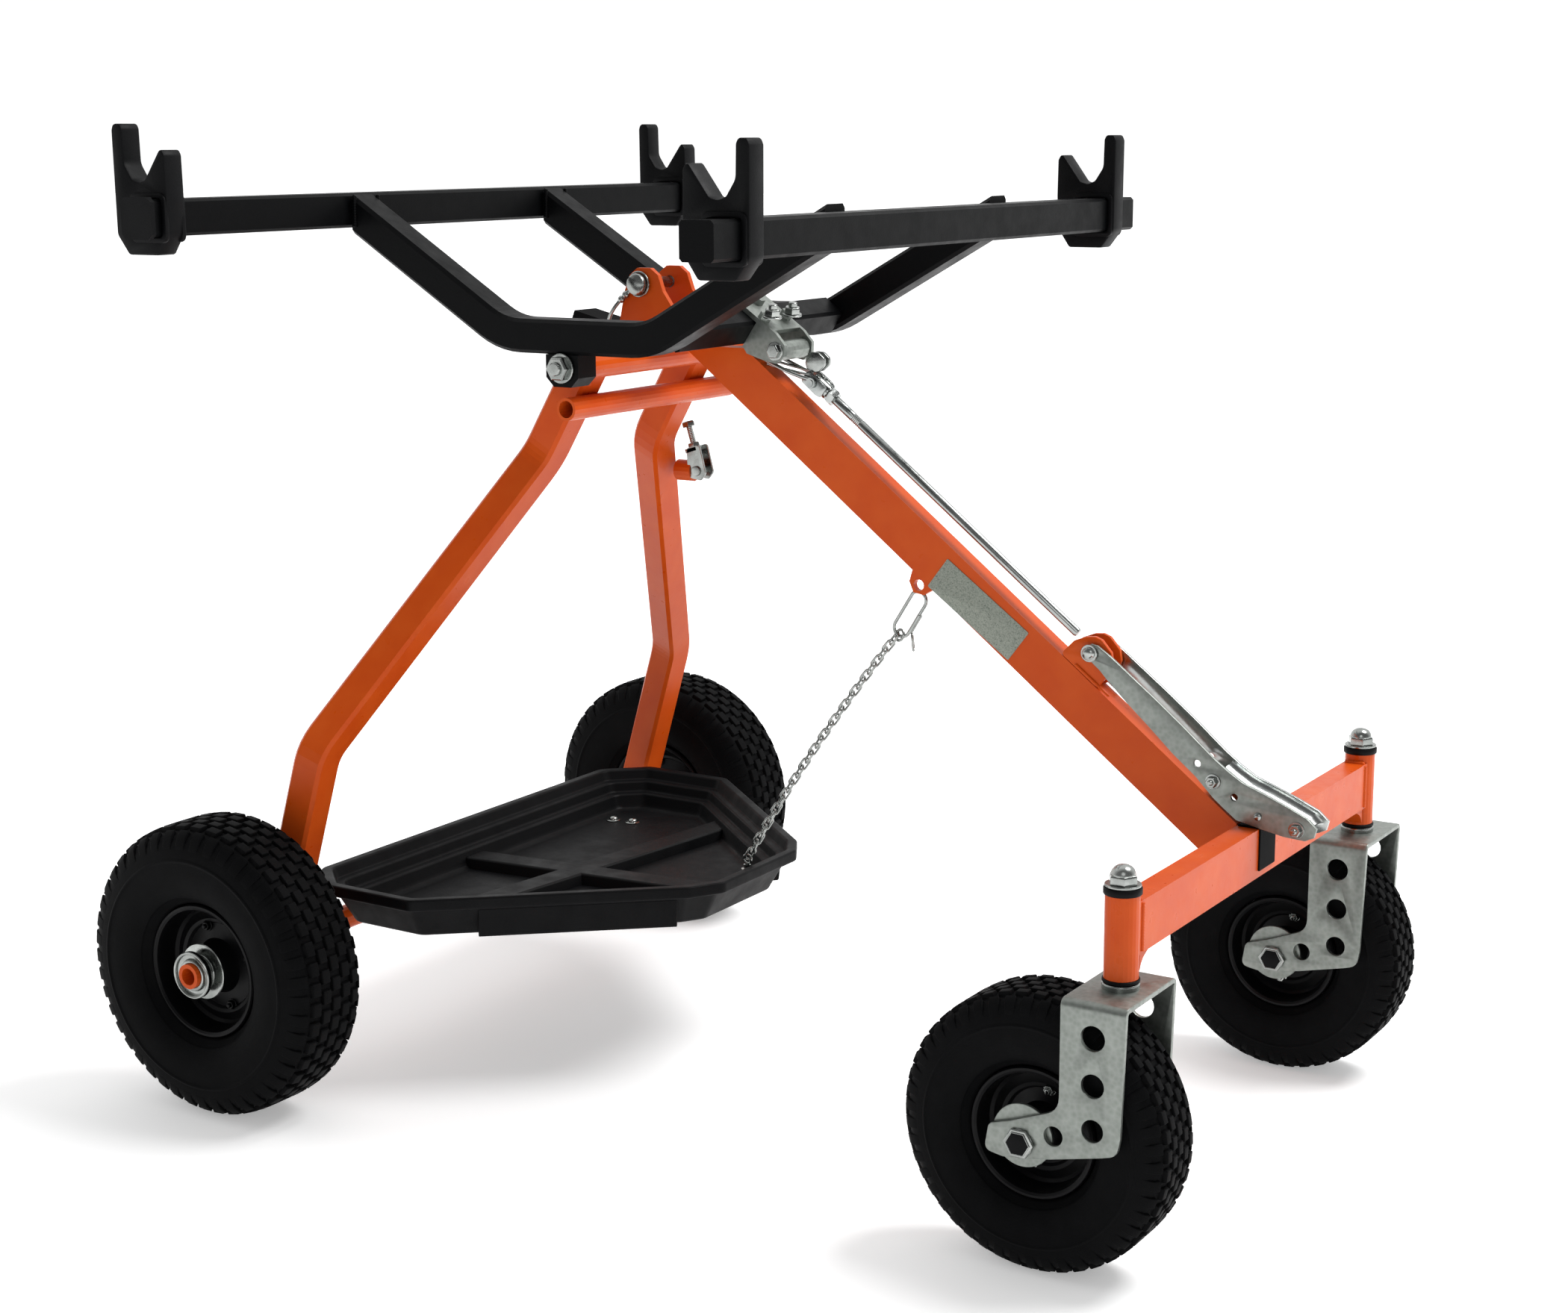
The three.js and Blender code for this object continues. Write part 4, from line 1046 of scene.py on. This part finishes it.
def lever():
    """Two plates with a dished web between them, the rest under it and the beam's ears."""
    holes = [circle(667, 418.4, 3.9, 20), circle(763.5, 337.5, 3.0, 20), circle(796, 314, 3.0, 20)]
    s = Solid()
    s.add(*plate_mesh((LEVER_TOP + LEVER_LOW)[::-1], holes, 3, xz(-13.5), bevel=0.5))
    # The near plate takes the darker galvanised colour in place of zinc: painted shade.
    s.make("lever_plate_near", "zinc_plate", "release_lever", ("release_lever",),
           mat=M["galvanised_steel"], smooth=34)
    s = Solid()
    far = (LEVER_TOP + LEVER_LOW[:5] + SLIM)[::-1]
    s.add(*plate_mesh(far, holes, 3, xz(13.5), bevel=0.5))
    s.add(*web())
    for x, z in LEVER_BOLTS:
        s.bar(3.6, -12.4, 12.4, 20, frame_at((x, 0, z), Y))
    # The far plate and its web take the lighter zinc copy: its bright colour is painted highlight.
    s.make("lever_plate_far", "zinc_plate", "release_lever", mat=M["smooth_zinc_painted_highlight"], smooth=34)
    r = Solid()
    m = frame_at((0, 0, 0), (0, -1, 0), X)
    for (x0, z0), (x1, z1) in (((799, 290.2), (818.6, 292)), ((817.2, 255.5), (818.6, 292))):
        r.prism([(x0, z0), (x1, z0), (x1, z1), (x0, z1)], -20, 13, m)
    r.make("lever_rest_pad", "black_rubber", "frame", ("lever_rest",), bevel=0.5, seg=2,
           smooth=34)
    c, d = math.cos(BEAM_TILT), math.sin(BEAM_TILT)
    x0, z0 = BEAM_TOP
    ear = [(x0 + (EAR_AT + a) * c + (BEAM_HALF + u) * d,
            z0 - (EAR_AT + a) * d + (BEAM_HALF + u) * c) for a, u in EAR]
    for tag, sg in NEARFAR:
        e = Solid()
        hole = circle(*LEVER_PIN, 4.2, 20)
        e.add(*plate_mesh(fillet(ear[::-1], 3.5, 3), [hole], 4, xz(sg * 8), bevel=0.6))
        e.make("lever_ear_plate_" + tag, "orange_paint", "frame", ("lever_ear_" + tag,),
               smooth=34)


lever()


# ---- bolts and pins
def lever_hardware():
    s = Solid()
    for (x, z), r in zip(LEVER_BOLTS, (5.0, 5.2)):
        for k in (-1, 1):
            q = frame_at((x, k * 15.3, z), (0, k, 0))
            s.lathe([(0, 0), (r * 1.28, 0), (r * 1.28, 0.8), (0, 1.0)], 28, q)
            s.hexa(r, 0.9, 5.0 if k < 0 else 4.2, q)
            s.disc(2.4, 1.9, 4, 6.4, 7, 16, q)
    q = frame_at((816.5, -15.1, 301), (0, -1, 0))
    s.lathe([(0, 0), (3.4, 0), (3.1, 1.1), (1.8, 1.9), (0, 2.1)], 18, q)
    s.make("lever_bolts", "zinc_plate", "release_lever", bevel=0.25, seg=1, smooth=34)
    p = Solid()
    x, z = LEVER_PIN
    p.lathe([(0, -18.8), (3.0, -18.8), (3.9, -18), (3.9, 18), (3.0, 18.8), (0, 18.8)], 24,
            frame_at((x, 0, z), Y))
    for k in (-1, 1):
        q = frame_at((x, k * 15.3, z), (0, k, 0))
        p.lathe([(3.8, 0), (7.0, 0), (7.3, 0.4), (7.3, 1.4), (6.9, 1.8), (3.8, 1.8)], 30, q,
                closed=True)
        p.lathe([(0, 1.8), (5.4, 1.8), (5.4, 3.0), (4.4, 4.2), (2.2, 4.9), (0, 5.0)], 26, q)
    p.make("lever_pin_steel", "zinc_plate", "frame", ("lever_pin",), smooth=34)


def pivot_bolts():
    for tag, sg in NEARFAR:
        b = Solid()
        q = frame_at((PIVOT[0], sg * 150.3, PIVOT[1]), (0, sg, 0))
        b.bar(5.9, -54, 1, 26, q)
        b.lathe([(0, 0), (12.4, 0), (12.9, 0.5), (12.9, 1.7), (12.4, 2.2), (0, 2.2)], 40, q)
        b.hexa(11, 2.2, 9.0, q)
        b.disc(5.8, 5.0, 8.6, 10.8, 11.6, 24, q)
        b.make("cradle_pivot_" + tag, "zinc_plate", "cradle", ("pivot_bolt_" + tag,),
               bevel=0.35, seg=2, smooth=34)


STRAND_STEPS = 24       # steps along the lanyard


def lanyard(q):
    """Middle of the lanyard at share q of its way from the pin to the frame."""
    sag = math.sin(math.pi * q)
    return (217 * (1 - q) + 196.5 * q - 4.5 * sag, -29.3 - 1.6 * sag, 696.5 * (1 - q) + 664 * q)


def lock_pin():
    x, z = LOCK_PIN
    k = Solid()
    k.lathe([(0, -34.2), (7.4, -34.2), (9.0, -33.2), (9.4, -32.2), (9.4, -27), (9.0, -26),
             (7.8, -25.6), (4.9, -25.4), (4.9, 31.5), (3.6, 34), (0, 34)], 40,
            frame_at((x, 0, z), Y))
    k.lathe([(5.2, -24.6), (8.6, -24.6), (8.8, -23.4), (8.6, -22.4), (5.2, -22.4)], 30,
            frame_at((x, -1.4, z), Y), closed=True)
    k.make("lock_pin_steel", "zinc_plate", "lock_pin", ("lock_pin",), smooth=34)
    w = Solid()
    w.tube(circle_pts((x, -27.6, z), 10.6, Y, 30), 1.0, 7, closed=True)
    w.tube([(221, -28, 700.4), (217.5, -29, 697), (216.4, -29.3, 695.6)], [1.6, 2.6, 2.2], 10)
    w.make("pin_lanyard_loop", "zinc_plate", "lock_pin", ("pin_tether",), smooth=60)
    t = Solid()
    for d in (-1.4, 1.4):
        line = [lanyard(i / STRAND_STEPS) for i in range(STRAND_STEPS + 1)]
        t.tube([(x + d * 0.8, y - d * 0.5, z) for x, y, z in line], 1.25, 7)
    for i in (0, 3, 21, 24):
        t.lathe([(0, -3), (2.2, -2.6), (3.1, -1.2), (3.2, 0), (3.1, 1.2), (2.2, 2.6), (0, 3)], 16,
                frame_at(lanyard(i / STRAND_STEPS), (-0.55, 0, -0.83)))
    o = t.make("pin_lanyard", "zinc_plate", None, smooth=60)
    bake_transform(o)


def clevis():
    """Clamp on the leg's stub, with its threaded bolt."""
    s = Solid()
    o = fillet([(189, 516), (202, 514), (207.5, 521), (200.5, 548), (186, 544), (186.5, 530)], 3.5)
    for y in (107.6, 120.4):
        s.add(*plate_mesh(o, [], 2.4, xz(y), bevel=0.4))
    m = frame_at((193.5, 114, 534), (-0.30, 0, 0.954))
    s.prism([(-6.5, -7.6), (6.5, -7.6), (6.5, 7.6), (-6.5, 7.6)], 7, 11, m)
    thread = [(2.6 if i % 2 else 3.1, 3 + i * 0.8) for i in range(38)]
    s.lathe([(0, 3)] + thread + [(0, 34)], 18, m)
    s.hexa(6.4, 31, 36.2, m)
    s.hexa(6.0, 11, 15.5, m)
    s.lathe([(0, -9.4), (4.8, -9.4), (4.8, -6), (3.4, -5.6), (3.4, 7), (4.8, 7.4), (4.8, 9.4),
             (0, 9.4)], 20, frame_at((197, 114, 523), Y))
    s.make("stub_clamp", "zinc_plate", "frame", ("stub_clevis",), bevel=0.3, seg=1, smooth=34)


lever_hardware()
pivot_bolts()
lock_pin()
clevis()


# ---- sticker on the beam
def sticker():
    """Plain film on the beam's near face."""
    pts = [(532, 484), (609, 428), (590, 403), (513, 459)]
    s = Solid()
    s.add(*plate_mesh(fillet(pts, 1.2), [], 0.7, xz(-10.35), bevel=0.15))
    s.make("beam_sticker", None, "frame", mat=M["sticker_film"], smooth=34)


sticker()


# ---- weld beads
def welds():
    rnd = random.Random(7)
    s = Solid()

    def bead(a, b, r=2.3, pitch=2.2):
        a, b = Vector(a), Vector(b)
        n = max(4, int((b - a).length / pitch) * 3)
        pts = [a.lerp(b, i / n) for i in range(n + 1)]
        rr = [r * (0.80 + 0.20 * abs(math.sin(math.pi * i / 3 + 0.4)) + rnd.uniform(-0.03, 0.03))
              for i in range(n + 1)]
        rr[0] = rr[-1] = r * 0.3
        s.tube(pts, rr, 8)

    def loop(c, r, z, k=48, w=2.2):
        rr = [w * (0.82 + 0.18 * abs(math.sin(math.pi * i / 3))) for i in range(k)]
        s.tube(circle_pts(c, r, z, k), rr, 8, closed=True)

    for sg in (-1, 1):
        # crossbar to steering tubes
        for x in (797.5, 816.5):
            bead((x, sg * 233.5, 251), (x, sg * 233.5, 289))
        bead((798, sg * 233.8, 290), (816, sg * 233.8, 290))
        bead((798, sg * 233.8, 250), (816, sg * 233.8, 250))
        gusset = [(sg * y, z) for y, z in ((233.6, 250.6), (233.6, 236.5), (231.4, 241),
                                           (227.5, 245), (221, 248.2), (212, 250.6))]
        s.prism(gusset, -8.5, 8.5, frame_at((STEER_X, 0, 0), X, Y))
        # beam end to the crossbar
        bead((796.6, sg * 10.4, 262), (796.6, sg * 10.4, 288))
        # legs to the pivot tube and the lower cross tube
        bead((225, sg * 97.5, 641), (225, sg * 97.5, 622), 2.4)
        bead((214, sg * 98, 611), (212, sg * 98, 597), 2.2)
        # head bracket and lever ears to the beam
        bead((214, sg * 25.2, 655), (286, sg * 25.2, 655), 2.0)
        bead((652, sg * 10.2, 406.5), (683, sg * 10.2, 382.6), 1.3)
        # leg feet to the axle
        loop((0, sg * 254.6, REAR_R), 12.2, Y)
        loop((0, sg * 285.4, REAR_R), 12.2, Y)
    s.make("weld_beads", "orange_paint", "frame", smooth=60)
    # rails to the cradle's bars
    b = Solid()
    n = 36
    for sg in (-1, 1):
        for (x0, z0), (x1, z1) in (((14.5, 756.5), (14.5, 784)), ((494.6, 746), (494.6, 774))):
            for dy in (-15.2, 15.2):
                y = sg * 137 + dy
                a, e = Vector((x0, y, z0)), Vector((x1, y, z1))
                pts = [a.lerp(e, i / n) for i in range(n + 1)]
                b.tube(pts, [2.0 * (0.8 + 0.2 * abs(math.sin(math.pi * i / 3)))
                             for i in range(n + 1)], 8)
    b.make("cradle_weld_beads", "black_powder_coat", "cradle", smooth=60)


welds()


# ---- visible CAD nodes
SLOT = {s["node"]: s["material_slot"] for s in frame["record"]["subparts"]}
BEVEL = {
    "frame_beam": 2.2, "front_crossbar": 2.2, "head_bracket": 0.9, "stop_tab": 0.9,
    "stop_pad": 1.5, "chain_tab": 0.7, "rear_bar": 3, "front_bar": 3, "cradle_rail_near": 3,
    "cradle_rail_far": 3, "cradle_stay": 2.5, "rear_bar_cap_near": 2.5, "rear_bar_cap_far": 2.5,
    "leg_near": 3, "leg_far": 3,
}
SMALL_BEVEL, BEVEL_SEGMENTS, BEVEL_ANGLE = 0.6, 2, 32

for name, o in N.items():
    if o.hide_render:
        continue
    o.data.materials.clear()
    # The latch bracket takes the darker galvanised colour in place of its own: painted shade.
    o.data.materials.append(M["galvanised_steel" if name == "latch_bracket" else SLOT[name]])
    add_bevel(o, BEVEL.get(name, SMALL_BEVEL), BEVEL_SEGMENTS, BEVEL_ANGLE)
    for p in o.data.polygons:
        p.use_smooth = True
    o.modifiers.new("wn", "WEIGHTED_NORMAL").keep_sharp = True
